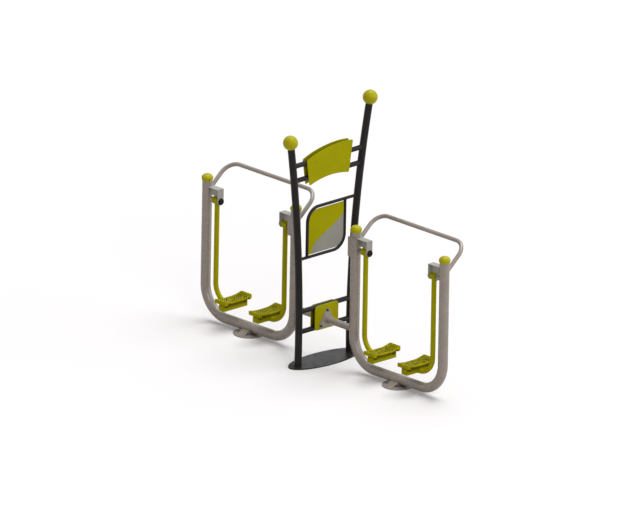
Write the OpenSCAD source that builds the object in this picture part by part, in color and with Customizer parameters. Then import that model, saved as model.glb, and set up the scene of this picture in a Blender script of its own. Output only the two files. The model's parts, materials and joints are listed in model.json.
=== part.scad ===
// Outdoor air walker: two stations with a pair of hanging foot plates each, joined to a middle pylon.
// X runs along the row of stations, +Y is the way the users face and +Z is up.
// The origin is the centre of the underside of the pylon's base plate, on the ground.

/* [Station frame] */
// Distance from the pylon's centre to the centre of a station
station_x = 934; // [900:1:1100]
// Distance between the centres of a station's two posts
post_spacing = 1112; // [1040:1:1160]
// Outside diameter of the bent frame tube
frame_d = 88.9; // [82:0.1:101.6]
// Wall of the bent frame tube
frame_wall = 4; // [2.5:0.1:6]
// Bend radius of the frame tube, at its centreline
frame_bend_r = 265; // [220:1:300]
// Height of the lower run of the frame tube, at its centreline
frame_run_z = 63; // [60:0.5:75]
// Height of the seam between a post and its cap
cap_seam_z = 1271; // [1240:1:1350]
// Length of post that stands inside its cap
cap_socket = 25; // [15:1:30]

/* [Post cap] */
// How far the cap's skirt stands proud of the post, at its lower edge
cap_lip = 2; // [1.2:0.1:4]
// How much wider the skirt is at the shoulder of the dome
cap_flare = 5.5; // [2:0.5:8]
// Height of the cap's skirt
cap_skirt_h = 22; // [20:1:30]
// Height of the cap's dome above its skirt
cap_dome_h = 40; // [32:1:48]
// Diameter of the cap screw's head
cap_screw_head_d = 10; // [7:0.5:14]
// Diameter of the cap screw's shank
cap_screw_d = 5; // [3:0.5:6]

/* [Station foot] */
// Diameter of the round base disc
disc_d = 282; // [240:1:340]
// Thickness of the round base disc
disc_t = 10; // [6:0.5:14]
// Width of the saddle plates along the lower run
saddle_w = 88; // [60:1:110]
// Thickness of the saddle plates
saddle_t = 5; // [3:0.5:8]
// Distance of a saddle plate's foot from the centreline
saddle_foot_y = 105; // [95:1:115]

/* [Handlebar] */
// Diameter of the handlebar tube
bar_d = 38; // [32:0.5:42.4]
// Wall of the handlebar tube
bar_wall = 2.5; // [1.5:0.1:4]
// Height of the crossbar
bar_z = 1386; // [1340:1:1450]
// Distance of the crossbar behind the post centres
bar_y = 264; // [240:1:340]
// Slope of the handlebar's legs
bar_slope = 41; // [35:1:45]
// Bend radius of the handlebar, at its centreline
bar_bend_r = 130; // [90:1:160]

/* [Instruction plate] */
// Width of the bare plate on the front of an inner post
notice_w = 106; // [80:1:120]
// Height of the bare plate
notice_h = 184; // [120:1:220]
// Thickness of the bare plate
notice_t = 3; // [2:0.5:5]
// Height of the middle of the bare plate
notice_z = 1139; // [1100:1:1160]
// Corner radius of the bare plate
notice_corner_r = 12; // [5:1:20]

/* [Pivot] */
// Height of the swing axles
axle_z = 1115; // [1080:1:1130]
// Diameter of an axle
axle_d = 20; // [16:0.5:22]
// Radial running clearance between an axle and its bearings
running_gap = 0.05; // [0.02:0.01:0.09]
// Diameter of the boss that carries the axle on the post
boss_d = 42; // [36:0.5:46]
// Length of that boss
boss_len = 41.5; // [34:0.5:50]
// Side gap between the boss and the hub
hub_gap = 6; // [3:0.5:10]
// Outside diameter of the hub
hub_d = 60.3; // [57:0.1:64]
// Length of the hub
hub_len = 68; // [60:1:80]
// Outside diameter of the collar round the hub's end next to the post
hub_collar_d = 68; // [64:0.5:72]
// Length of that collar
hub_collar_len = 12; // [8:0.5:14]
// Bore of the hub between its bearings
hub_bore_d = 40; // [34:0.5:44]
// Outside diameter of a ball bearing
bearing_d = 47; // [46:0.5:52]
// Width of a ball bearing
bearing_w = 14; // [10:0.5:16]
// Depth of a bearing's face below the end of the hub
bearing_inset = 1.5; // [1:0.1:3]

/* [Pivot housing] */
// Depth of the housing's top and side plates, front to rear
housing_d = 70; // [66:1:84]
// Height of the housing's top above the axle
housing_rise = 112; // [90:1:125]
// Height of the lower edge of the web above the axle
housing_skirt = 38; // [37:0.5:50]
// Thickness of the top plate and the web
housing_t = 5; // [3:0.5:8]
// Thickness of the side plate that carries the axle
side_t = 8; // [5:0.5:12]
// Side gap between the hub and the side plate
side_gap = 4; // [2:0.5:8]
// Diameter of the axle's end cap
end_cap_d = 58; // [50:0.5:62]
// Height of the end cap
end_cap_h = 14; // [12:0.5:20]
// Width of the axle nut across its flats
nut_af = 30; // [27:0.5:32]
// Thickness of the axle nut
nut_t = 8; // [6:0.5:9]

/* [Hanging arm] */
// Diameter of the arm tube
arm_d = 44.5; // [38:0.5:48.3]
// Wall of the arm tube
arm_wall = 3; // [2:0.1:5]
// Bend radius of the arm, at its centreline
arm_bend_r = 160; // [120:1:170]
// Distance from the hanging part of the arm to the middle of its foot plate
pedal_reach = 215; // [200:1:235]

/* [Foot plate] */
// Height of the underside of the foot plate
pedal_z = 232; // [205:1:260]
// Length of the foot plate
pedal_len = 326; // [290:1:360]
// Width of the foot plate
pedal_w = 137; // [115:1:160]
// Corner radius of the foot plate in plan
pedal_corner_r = 10; // [8:1:30]
// Height of the rim in the middle of the foot plate
pedal_h = 33; // [26:1:40]
// Rise of the rim at the heel
heel_rise = 17; // [8:1:24]
// Rise of the rim at the toe
toe_rise = 22; // [10:1:30]
// How far the foot plate and its carrier sit ahead of the arm
pedal_lead = 6; // [0:1:12]
// Width of the rim
rim_w = 7; // [4:0.5:12]
// Depth of the tread below the rim
tread_drop = 5; // [2:0.5:8]
// Thickness of the casting's skin and skirt
skin_t = 4; // [3:0.5:6]
// Thickness of the ribs under the tread
rib_t = 3; // [2:0.5:5]
// Number of ribs under the tread
rib_count = 6; // [3:1:9]
// Diameter of a tread stud
stud_d = 8; // [5:0.5:10]
// Height of a tread stud
stud_h = 4; // [2:0.5:5]
// Studs in a row across the foot plate
stud_columns = 5; // [3:1:6]
// Rows of studs along the foot plate
stud_rows = 13; // [7:1:15]

/* [Foot plate carrier] */
// Length of the folded carrier under the foot plate
carrier_len = 282; // [240:1:286]
// Width of the carrier
carrier_w = 68; // [60:1:90]
// Height of the carrier
carrier_h = 52; // [50:1:60]
// Sheet thickness of the carrier
carrier_t = 4; // [2.5:0.5:5]
// Diameter of the bolts that hold the foot plate
pedal_bolt_d = 8; // [6:0.5:10]
// Spacing of those bolts along the foot plate
pedal_bolt_pitch_y = 180; // [120:1:190]
// Spacing of those bolts across the foot plate
pedal_bolt_pitch_x = 34; // [28:1:36]

/* [Pylon] */
// Length of the elliptical base plate, front to rear
plate_len = 810; // [760:1:900]
// Width of the elliptical base plate
plate_w = 310; // [280:1:360]
// Thickness of the base plate
plate_t = 10; // [8:0.5:16]
// Diameter of the anchor holes
anchor_d = 14; // [10:0.5:18]
// Spacing of the anchor holes across the plate
anchor_x = 210; // [180:1:220]
// Spacing of the outer anchor holes along the plate
anchor_y = 418; // [380:1:440]
// Outside diameter of the two pylon posts
pylon_d = 65; // [57:0.1:70]
// Wall of the pylon posts
pylon_wall = 3; // [2:0.1:5]
// Distance between the feet of the pylon posts
pylon_foot = 624; // [600:1:660]
// Inward lean of the pylon posts at their feet
foot_lean = 1.4; // [0.5:0.1:2.5]
// How far the front post leans out at its ball
front_lean = 137; // [80:1:180]
// Height of the front ball's centre
front_ball_z = 2093; // [2040:1:2200]
// How far the rear post leans out at its ball
rear_lean = 200; // [120:1:260]
// Height of the rear ball's centre
rear_ball_z = 2302; // [2200:1:2400]
// Diameter of the ball caps
ball_d = 133; // [110:1:150]

/* [Sign] */
// Height of the upper sign rail
sign_rail_upper_z = 1864; // [1845:1:1880]
// Height of the lower sign rail
sign_rail_lower_z = 1726; // [1710:1:1740]
// Diameter of the rails
rail_d = 44.5; // [38:0.5:50]
// Wall of the rails
rail_wall = 2.5; // [2:0.1:4]
// Overall width of the sign plates
sign_w = 560; // [520:1:600]
// Overall height of the sign plates
sign_h = 330; // [310:1:350]
// Height of the middle of the sign plates
sign_z = 1800; // [1790:1:1810]
// Thickness of the sign plates
sign_t = 4; // [3:0.5:6]
// Thickness of the washers between the rails and the sign plates
sign_gap = 2; // [1.5:0.5:6]
// Corner radius of the sign plates
sign_corner_r = 15; // [5:1:25]
// Diameter of the sign bolts
sign_bolt_d = 8; // [5:0.5:10]
// Spacing of the sign bolts along a rail
sign_bolt_pitch = 300; // [200:1:340]

/* [Panel] */
// Height of the panel frame's upper run
panel_top_z = 1434; // [1400:1:1500]
// Height of the panel frame's lower run
panel_bottom_z = 988; // [940:1:1020]
// Distance between the panel frame's uprights
panel_span = 452; // [420:1:480]
// Diameter of the panel frame tube
panel_tube_d = 28; // [25:0.5:32]
// Wall of the panel frame tube
panel_tube_wall = 2; // [1.5:0.1:3]
// Bend radius of the panel frame tube, at its centreline
panel_bend_r = 130; // [90:1:160]
// Open slit above and below the panel
panel_slit = 8; // [4:0.5:14]
// Thickness of the panel sheets
panel_t = 4; // [3:0.5:8]

/* [Station link] */
// Height of the upper mounting rail
mount_rail_upper_z = 504; // [500:1:520]
// Height of the lower mounting rail
mount_rail_lower_z = 317; // [310:1:320]
// Width of the mounting plates
mount_w = 280; // [260:1:300]
// Height of the mounting plates
mount_h = 225; // [220:1:245]
// Thickness of the mounting plates
mount_t = 8; // [5:0.5:10]
// Corner radius of the mounting plates
mount_corner_r = 30; // [10:1:45]
// Height of the link tube's axis
link_z = 377; // [372:1:382]
// Diameter of the link tube
link_d = 60.3; // [54:0.1:66]
// Wall of the link tube
link_wall = 3; // [2:0.1:5]
// Circle on which the three flange bolts lie
flange_pcd = 174; // [164:1:180]
// Corner radius of the triangular flange
flange_corner_r = 18; // [16:0.5:22]
// Thickness of the triangular flange
flange_t = 8; // [5:0.5:12]
// Diameter of the flange bolts
flange_bolt_d = 12; // [8:0.5:14]

/* [Hidden] */

// Facets of a round section, of a bend and of the pylon's long, slow arcs
$fn = 64;
bend_fn = 96;
lean_fn = 360;
// Points along one computed arc of an outline, of a cap's dome and of a bolt head's dome
arc_steps = 8;
cap_steps = 12;
head_steps = 4;
ellipse_steps = 96;

// Seat gap between welded, clipped or bolted pieces
seat_gap = 0.3;
// Gap between pieces that are pressed together
press_gap = 0.02;
// Overrun of every cut past the face that it goes through
cut = 2;

left = -1;
right = 1;

lime = "#9a9a00";
grey = "#8c8680";
anthracite = "#33312f";
black = "#1c1c1c";
steel = "#a9abad";
panel_colour = "#8f8f89";

// Station frame
post_r = frame_d / 2;
half_spacing = post_spacing / 2;
post_top_z = cap_seam_z + cap_socket;

// Post cap: the skirt widens to the shoulder of an oval dome, and its screw's head sits in a recess
cap_base_r = post_r + cap_lip;
cap_shoulder_r = cap_base_r + cap_flare;
cap_screw_z = cap_seam_z + cap_skirt_h * 0.7;
cap_screw_seat = post_r + (cap_shoulder_r - post_r) * 0.6;
cap_screw_head_h = cap_screw_head_d * 0.35;
// A station's screws face the pylon's side and a little to the front
cap_screw_turn = -26;

// Station foot: the saddle plates lean from the disc's top to the sides of the tube
saddle_top_z = frame_run_z - post_r * 0.3;
saddle_top_y = post_r * 0.85;
saddle_run = saddle_t / sin(atan2(saddle_top_z - disc_t, saddle_foot_y - saddle_top_y));

// Handlebar: its legs run down the slope to the post's axis
bar_r = bar_d / 2;
bar_leg = bar_y / cos(bar_slope);
bar_root_z = bar_z - bar_y * tan(bar_slope);

// Pivot, measured inboard from the post's axis
axle_r = axle_d / 2;
hub_r = hub_d / 2;
boss_end = post_r + boss_len;
hub_start = boss_end + hub_gap;
hub_end = hub_start + hub_len;
side_in = hub_end + side_gap;
side_out = side_in + side_t;
axle_start = post_r + seat_gap * 2;
axle_end = side_out + nut_t + seat_gap * 3;
collar_r = axle_r * 1.35;
bearing_first = hub_start + bearing_inset;
bearing_last = hub_end - bearing_inset - bearing_w;
end_cap_wall = (end_cap_d - nut_af) * 0.14;
end_cap_round = end_cap_h * 0.45;

// Hanging arm, measured inboard from the post's axis
arm_r = arm_d / 2;
arm_seat_share = 0.53;
arm_x = hub_start + hub_len * arm_seat_share;
pedal_x = arm_x + pedal_reach;
arm_end = pedal_x - carrier_w / 2;
arm_run_z = pedal_z - carrier_h * 0.56;

// Foot plate: shares of its length that place the rising heel and toe, and of their rise below
heel_share = 0.16;
toe_share = 0.34;
belly_share = 0.9;
profile_steps = 10;
profile_ys = [
    each [for (i = [0:profile_steps]) pedal_len * (-0.5 + (0.5 - heel_share) * i / profile_steps)],
    each [for (i = [0:profile_steps]) pedal_len * (0.5 - toe_share + toe_share * i / profile_steps)]
];
tread_w = pedal_w - 2 * rim_w;
tread_len = pedal_len - 2 * rim_w;
stud_pitch_x = tread_w / stud_columns;
stud_pitch_y = tread_len / stud_rows;
rib_pitch = pedal_len / (rib_count + 1);
pedal_boss_d = pedal_bolt_d * 2;
pedal_bolt_head_d = pedal_bolt_d * 1.6;
pedal_bolt_head_h = pedal_bolt_d * 0.6;
pedal_bolt_grip = pedal_h * 0.5;

// Pylon: each post is one arc from its foot, where it leans in a little, up to its ball
pylon_r = pylon_d / 2;
foot_y = pylon_foot / 2;
front_bend_r = post_bend_r(front_lean, front_ball_z - plate_t);
rear_bend_r = post_bend_r(rear_lean, rear_ball_z - plate_t);

// Sign: corners as shares of its width and height, from the front top corner round to the front bottom one
rail_r = rail_d / 2;
sign_in = rail_r + sign_gap;
sign_corner_shares = [[-0.485, 0.294], [0.509, 0.515], [0.430, -0.367], [-0.419, -0.439]];
sign_rise_share = 0.108;
sign_steps = 20;
sign_bolt_head_d = sign_bolt_d * 2;
sign_bolt_head_h = sign_bolt_d * 0.35;

// Panel: the boundary between its two sheets, as shares of the frame's opening
panel_tube_r = panel_tube_d / 2;
panel_half = panel_span / 2;
panel_w = panel_span - panel_tube_d - 2 * seat_gap;
panel_low = panel_bottom_z + panel_tube_r + panel_slit;
panel_high = panel_top_z - panel_tube_r - panel_slit;
panel_corner_r = panel_bend_r - panel_tube_r - panel_slit;
wave_start_share = 0.105;
wave_end_share = 0.80;
wave_foot_share = 0.11;
wave_steps = 16;

// Station link: the flange's bolt circle is centred on the link tube
mount_in = rail_r + seat_gap;
mount_out = mount_in + mount_t;
mount_z = (mount_rail_upper_z + mount_rail_lower_z) / 2;
flange_in = mount_out;
flange_out = flange_in + flange_t;
flange_bolt_head_d = flange_bolt_d * 1.75;
flange_bolt_head_h = flange_bolt_d * 0.65;
flange_washer_d = flange_bolt_d * 2;
flange_washer_t = flange_bolt_d * 0.2;

// Planar geometry
function heading(a, b) = atan2(b[1] - a[1], b[0] - a[0]);
function wrap(t) = t > 180 ? t - 360 : t < -180 ? t + 360 : t;
function turn(a, b, c) = wrap(heading(b, c) - heading(a, b));
function bend_cut(a, b, c, r) = r * tan(abs(turn(a, b, c)) / 2);
function unit(v) = v / norm(v);
function corner_between(a, b, c, r) =
    let (t = turn(a, b, c), side = sign(t), back = bend_cut(a, b, c, r), dir = heading(a, b))
    let (centre = b - back * [cos(dir), sin(dir)] + side * r * [-sin(dir), cos(dir)])
    [for (i = [0:arc_steps]) let (q = dir - side * 90 + t * i / arc_steps)
        centre + r * [cos(q), sin(q)]];
function rounded_outline(points, radii) =
    let (n = len(points))
    [for (i = [0:n - 1])
        each corner_between(points[(i + n - 1) % n], points[i], points[(i + 1) % n], radii[i])];
function rectangle_points(w, h) = [[-w, -h] / 2, [w, -h] / 2, [w, h] / 2, [-w, h] / 2];
function rounded_rectangle(w, h, r) = rounded_outline(rectangle_points(w, h), [r, r, r, r]);
// Points on the arc that bulges by rise to the left of the line from a to b
function bulge(a, b, rise, steps) =
    let (half = norm(b - a) / 2, r = (half * half + rise * rise) / (2 * rise))
    let (dir = unit(b - a), out = [-dir[1], dir[0]])
    let (centre = (a + b) / 2 + out * (rise - r), reach = asin(half / r))
    [for (i = [0:steps]) let (q = -reach + 2 * reach * i / steps)
        centre + r * (sin(q) * dir + cos(q) * out)];
function smooth_step(t) = t * t * (3 - 2 * t);
// Points up a quarter of an oval, from its edge at height z to its top on the axis
function dome_points(r, z, h, steps) =
    [for (i = [0:steps]) let (q = 90 * i / steps) [r * cos(q), z + h * sin(q)]];

// Pylon posts: bend radius from the lean and rise of the top, and lean and place of the axis at a height
function post_bend_r(lean, rise) = norm([lean, rise]) / (2 * sin(atan2(lean, rise) + foot_lean));
function bend_z(bend_r) = plate_t + bend_r * sin(foot_lean);
function lean_at(z, bend_r) = asin((z - bend_z(bend_r)) / bend_r);
function post_y_at(z, bend_r) = foot_y + bend_r * (cos(foot_lean) - cos(lean_at(z, bend_r)));

// Foot plate: how far its rim has risen at a place along its length
function rim_rise(y) =
    let (t = y / pedal_len)
    t < -heel_share ? heel_rise * pow((-heel_share - t) / (0.5 - heel_share), 1.6)
    : t > 0.5 - toe_share ? toe_rise * pow((t - 0.5 + toe_share) / toe_share, 1.5)
    : 0;
// Side view of a layer of the foot plate: each face is a height plus a share of the rim's rise
function layer_points(low, low_share, high, high_share) =
    let (last = len(profile_ys) - 1)
    [
        each [for (y = profile_ys) [y, low + low_share * rim_rise(y)]],
        each [for (i = [0:last]) let (y = profile_ys[last - i]) [y, high + high_share * rim_rise(y)]]
    ];

// A ring, or a full disc where the wall is left out
module ring(r, wall = 0) {
    difference() {
        circle(r);
        if (wall > 0)
            circle(r - wall);
    }
}

// A tube along a path of points in the XY plane, with the same bend at every inner point
module bent_tube(path, bend_r, r, wall = 0) {
    last = len(path) - 1;
    for (i = [0:last - 1]) {
        from = i == 0 ? 0 : bend_cut(path[i - 1], path[i], path[i + 1], bend_r);
        to = i == last - 1 ? 0 : bend_cut(path[i], path[i + 1], path[i + 2], bend_r);
        translate(path[i])
            rotate([0, 0, heading(path[i], path[i + 1])])
                translate([from, 0, 0])
                    rotate([0, 90, 0])
                        linear_extrude(norm(path[i + 1] - path[i]) - from - to)
                            ring(r, wall);
    }
    for (i = [1:last - 1]) {
        t = turn(path[i - 1], path[i], path[i + 1]);
        back = bend_cut(path[i - 1], path[i], path[i + 1], bend_r);
        translate(path[i])
            rotate([0, 0, heading(path[i - 1], path[i])])
                translate([-back, sign(t) * bend_r, 0])
                    rotate([0, 0, t > 0 ? -90 : 90 + t])
                        rotate_extrude(angle = abs(t), $fn = bend_fn)
                            translate([bend_r, 0])
                                ring(r, wall, $fn = $fn);
    }
}

// Turns a drawing in the XY plane upright, facing along Y
module upright_xz() {
    rotate([90, 0, 0])
        children();
}

// Turns a drawing in the XY plane upright, facing along X
module upright_yz() {
    rotate([90, 0, 90])
        children();
}

// A cylinder that starts at the origin and runs along +X
module along_x(r, length) {
    rotate([0, 90, 0])
        cylinder(r = r, h = length);
}

// A low domed head that starts at the origin and faces +X
module domed_head(r, h) {
    rotate([0, 90, 0])
        rotate_extrude()
            polygon([[0, 0], each dome_points(r, 0, h, head_steps)]);
}

// A sheet of outline points in the YZ plane, from x = 0 towards +X
module sheet_yz(points, thickness) {
    upright_yz()
        linear_extrude(thickness)
            polygon(points);
}

// Places a child, drawn at a post with the station's middle towards +X, at one of the four posts
module at_post(station, post) {
    translate([station * station_x + post * half_spacing, 0, 0])
        mirror([post > 0 ? 1 : 0, 0, 0])
            children();
}

module at_all_posts() {
    for (station = [left, right])
        for (post = [left, right])
            at_post(station, post)
                children();
}

// Places a child, drawn at a post with the pylon towards +X, at all four posts
module at_all_posts_to_pylon() {
    for (station = [left, right])
        mirror([station > 0 ? 1 : 0, 0, 0])
            for (post = [left, right])
                translate([post * half_spacing - station_x, 0, 0])
                    children();
}

// Base plate with its anchor holes
module base_plate() {
    color(anthracite)
        difference() {
            linear_extrude(plate_t)
                polygon([for (i = [0:ellipse_steps - 1]) let (q = 360 * i / ellipse_steps)
                    [plate_w * cos(q), plate_len * sin(q)] / 2]);
            for (x = [-anchor_x, anchor_x] / 2)
                for (y = [-anchor_y, 0, anchor_y] / 2)
                    translate([x, y, -cut])
                        cylinder(d = anchor_d, h = plate_t + 2 * cut);
        }
}

// One pylon post in the YZ plane, leaning towards +Y and cut level on the base plate
module pylon_post(bend_r, top_z) {
    top_lean = lean_at(top_z, bend_r);
    start_lean = lean_at(plate_t - cut, bend_r);
    difference() {
        upright_yz()
            translate([foot_y + bend_r * cos(foot_lean), bend_z(bend_r), 0])
                rotate([0, 0, 180 - top_lean])
                    rotate_extrude(angle = top_lean - start_lean, $fn = lean_fn)
                        translate([bend_r, 0])
                            ring(pylon_r, pylon_wall, $fn = $fn);
        translate([-pylon_d, foot_y - pylon_d, plate_t - 2 * pylon_d])
            cube(2 * pylon_d);
    }
}

module pylon_post_front() {
    color(anthracite)
        mirror([0, 1, 0])
            pylon_post(front_bend_r, front_ball_z);
}

module pylon_post_rear() {
    color(anthracite)
        pylon_post(rear_bend_r, rear_ball_z);
}

// The straight rod that stands in for a leaning post where another piece is cut to fit it
module post_rod(z, bend_r, r, length) {
    translate([0, post_y_at(z, bend_r), z])
        rotate([-lean_at(z, bend_r), 0, 0])
            translate([0, 0, -length / 2])
                cylinder(r = r, h = length);
}

// Removes both pylon posts from a child at height z
module between_posts(z) {
    reach = 4 * rail_d;
    difference() {
        children();
        post_rod(z, rear_bend_r, pylon_r + seat_gap, reach);
        mirror([0, 1, 0])
            post_rod(z, front_bend_r, pylon_r + seat_gap, reach);
    }
}

// A ball that the top of a leaning post reaches into
module ball_cap(bend_r, z) {
    translate([0, post_y_at(z, bend_r), z])
        difference() {
            sphere(d = ball_d);
            rotate([180 - lean_at(z, bend_r), 0, 0])
                translate([0, 0, -seat_gap])
                    cylinder(r = pylon_r + seat_gap, h = ball_d);
        }
}

module ball_caps() {
    color(lime) {
        ball_cap(rear_bend_r, rear_ball_z);
        mirror([0, 1, 0])
            ball_cap(front_bend_r, front_ball_z);
    }
}

// A straight rail from post to post
module cross_rail(z) {
    start = -post_y_at(z, front_bend_r);
    between_posts(z)
        translate([0, start, z])
            rotate([-90, 0, 0])
                linear_extrude(post_y_at(z, rear_bend_r) - start)
                    ring(rail_r, rail_wall);
}

module sign_bolt_places() {
    for (z = [sign_rail_upper_z, sign_rail_lower_z])
        for (y = [-sign_bolt_pitch, sign_bolt_pitch] / 2)
            translate([0, y, z])
                children();
}

module sign_rails() {
    reach = rail_r + cut;
    color(anthracite)
        difference() {
            union() {
                cross_rail(sign_rail_upper_z);
                cross_rail(sign_rail_lower_z);
            }
            sign_bolt_places()
                translate([-reach, 0, 0])
                    along_x(sign_bolt_d / 2 + seat_gap, 2 * reach);
        }
}

// Fan outline: two bulged edges between four rounded corners
function sign_points() =
    let (c = [for (s = sign_corner_shares) [s[0] * sign_w, s[1] * sign_h]])
    let (rise = sign_rise_share * sign_h)
    let (over = bulge(c[0], c[1], rise, sign_steps), under = bulge(c[3], c[2], rise, sign_steps))
    [
        each corner_between(c[3], c[0], over[2], sign_corner_r),
        each [for (i = [2:sign_steps - 2]) over[i]],
        each corner_between(over[sign_steps - 2], c[1], c[2], sign_corner_r),
        each corner_between(c[1], c[2], under[sign_steps - 2], sign_corner_r),
        each [for (i = [2:sign_steps - 2]) under[sign_steps - i]],
        each corner_between(under[2], c[3], c[0], sign_corner_r)
    ];

module sign_plate() {
    difference() {
        translate([sign_in, 0, sign_z])
            sheet_yz(sign_points(), sign_t);
        sign_bolt_places()
            translate([sign_in - cut, 0, 0])
                along_x(sign_bolt_d / 2 + seat_gap, sign_t + 2 * cut);
    }
}

module sign_plate_left() {
    color(lime)
        mirror([1, 0, 0])
            sign_plate();
}

module sign_plate_right() {
    color(lime)
        sign_plate();
}

// A through bolt with a low head on each side and a washer between each plate and the rail
module sign_bolts() {
    outer = sign_in + sign_t;
    color(lime)
        sign_bolt_places() {
            translate([-outer, 0, 0])
                along_x(sign_bolt_d / 2, 2 * outer);
            for (side = [0, 1])
                mirror([side, 0, 0]) {
                    translate([outer, 0, 0])
                        domed_head(sign_bolt_head_d / 2, sign_bolt_head_h);
                    translate([rail_r + seat_gap, 0, 0])
                        along_x(sign_bolt_head_d / 2, sign_gap - seat_gap);
                }
        }
}

// The panel frame is two bent tubes, each from a pylon post round a corner and onto the other tube
module panel_frame_upper() {
    start = post_y_at(panel_top_z, rear_bend_r);
    color(anthracite)
        difference() {
            between_posts(panel_top_z)
                upright_yz()
                    bent_tube([[start, panel_top_z], [-panel_half, panel_top_z], [-panel_half, panel_bottom_z]],
                        panel_bend_r, panel_tube_r, panel_tube_wall);
            translate([0, -panel_half - panel_tube_d, panel_bottom_z])
                rotate([-90, 0, 0])
                    cylinder(r = panel_tube_r + seat_gap, h = 2 * panel_tube_d);
        }
}

module panel_frame_lower() {
    start = -post_y_at(panel_bottom_z, front_bend_r);
    color(anthracite)
        difference() {
            between_posts(panel_bottom_z)
                upright_yz()
                    bent_tube([[start, panel_bottom_z], [panel_half, panel_bottom_z], [panel_half, panel_top_z]],
                        panel_bend_r, panel_tube_r, panel_tube_wall);
            translate([0, panel_half - panel_tube_d, panel_top_z])
                rotate([-90, 0, 0])
                    cylinder(r = panel_tube_r + seat_gap, h = 2 * panel_tube_d);
        }
}

// The wave that divides the panel, from its lower edge to its rear edge
function wave_points() =
    let (height = panel_high - panel_low, foot = (wave_foot_share - 0.5) * panel_w)
    [for (i = [0:wave_steps]) let (t = i / wave_steps)
        [foot + (panel_w / 2 - foot) * smooth_step(t),
            panel_low + height * (wave_start_share + (wave_end_share - wave_start_share) * t)]];

module panel_lime() {
    h = panel_w / 2;
    foot = (wave_foot_share - 0.5) * panel_w;
    color(lime)
        translate([-panel_t / 2, 0, 0])
            sheet_yz([
                [-h, panel_low],
                [foot, panel_low],
                each wave_points(),
                [h, panel_high],
                each corner_between([h, panel_high], [-h, panel_high], [-h, panel_low], panel_corner_r)
            ], panel_t);
}

module panel_grey() {
    h = panel_w / 2;
    wave = wave_points();
    foot = (wave_foot_share - 0.5) * panel_w;
    color(panel_colour)
        translate([-panel_t / 2, 0, 0])
            sheet_yz([
                [foot, panel_low],
                each corner_between([foot, panel_low], [h, panel_low], [h, panel_high], panel_corner_r),
                each [for (i = [0:wave_steps]) wave[wave_steps - i]]
            ], panel_t);
}

module mount_rails() {
    color(anthracite) {
        cross_rail(mount_rail_upper_z);
        cross_rail(mount_rail_lower_z);
    }
}

// The three places of the flange bolts, one at the top
module flange_bolt_places() {
    for (i = [0:2])
        translate([0, 0, link_z])
            rotate([120 * i, 0, 0])
                translate([0, 0, flange_pcd / 2])
                    children();
}

module mount_plate() {
    difference() {
        translate([mount_in, 0, mount_z])
            sheet_yz(rounded_rectangle(mount_w, mount_h, mount_corner_r), mount_t);
        flange_bolt_places()
            translate([mount_in - cut, 0, 0])
                along_x(flange_bolt_d / 2 + press_gap, mount_t + 2 * cut);
    }
}

module mount_plate_left() {
    color(lime)
        mirror([1, 0, 0])
            mount_plate();
}

module mount_plate_right() {
    color(lime)
        mount_plate();
}

// Triangular flange with its tube, which is cut to the round of the station's post
function flange_points() =
    let (r = flange_pcd / 2 + 2 * flange_corner_r, c = flange_corner_r)
    rounded_outline([for (i = [0:2]) r * [sin(-120 * i), cos(120 * i)]], [c, c, c]);

module link_arm() {
    inner_post_x = station_x - half_spacing;
    color(grey)
        difference() {
            union() {
                translate([flange_in, 0, link_z])
                    sheet_yz(flange_points(), flange_t);
                translate([flange_out, 0, link_z])
                    rotate([0, 90, 0])
                        linear_extrude(inner_post_x - flange_out)
                            ring(link_d / 2, link_wall);
            }
            translate([inner_post_x, 0, 0])
                cylinder(r = post_r + seat_gap, h = link_z + link_d);
            flange_bolt_places()
                translate([flange_in - cut, 0, 0])
                    along_x(flange_bolt_d / 2 + seat_gap, flange_t + 2 * cut);
        }
}

module link_arm_left() {
    mirror([1, 0, 0])
        link_arm();
}

module link_arm_right() {
    link_arm();
}

module link_bolts() {
    color(steel)
        for (side = [0, 1])
            mirror([side, 0, 0])
                flange_bolt_places() {
                    translate([mount_in, 0, 0])
                        along_x(flange_bolt_d / 2, flange_out - mount_in);
                    translate([flange_out, 0, 0])
                        along_x(flange_washer_d / 2, flange_washer_t);
                    translate([flange_out, 0, 0])
                        rotate([0, 90, 0])
                            cylinder(d = flange_bolt_head_d, h = flange_washer_t + flange_bolt_head_h, $fn = 6);
                }
}

// Places a child along the line of a cap screw, at a distance from the post's axis
module at_cap_screw(from) {
    translate([0, 0, cap_screw_z])
        rotate([0, 0, cap_screw_turn])
            translate([from, 0, 0])
                children();
}

// The hole or the shank of a cap screw
module cap_screw_line(r, from, to) {
    at_cap_screw(from)
        along_x(r, to - from);
}

// The bent tube of one station: two posts and the run between them
module station_frame(station) {
    top = post_top_z;
    color(grey)
        difference() {
            translate([station * station_x, 0, 0])
                upright_xz()
                    bent_tube([[-half_spacing, top], [-half_spacing, frame_run_z],
                        [half_spacing, frame_run_z], [half_spacing, top]],
                        frame_bend_r, post_r, frame_wall);
            at_all_posts_to_pylon()
                cap_screw_line(cap_screw_d / 2 + seat_gap, post_r - 2 * frame_wall, post_r + cut);
        }
}

module handlebar(station) {
    color(grey)
        difference() {
            translate([station * station_x, 0, bar_root_z])
                rotate([bar_slope, 0, 0])
                    bent_tube([[-half_spacing, 0], [-half_spacing, bar_leg], [half_spacing, bar_leg],
                        [half_spacing, 0]], bar_bend_r, bar_r, bar_wall);
            for (post = [left, right])
                at_post(station, post)
                    translate([0, 0, bar_root_z - 2 * bar_d])
                        cylinder(r = post_r + seat_gap, h = 6 * bar_d);
        }
}

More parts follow.
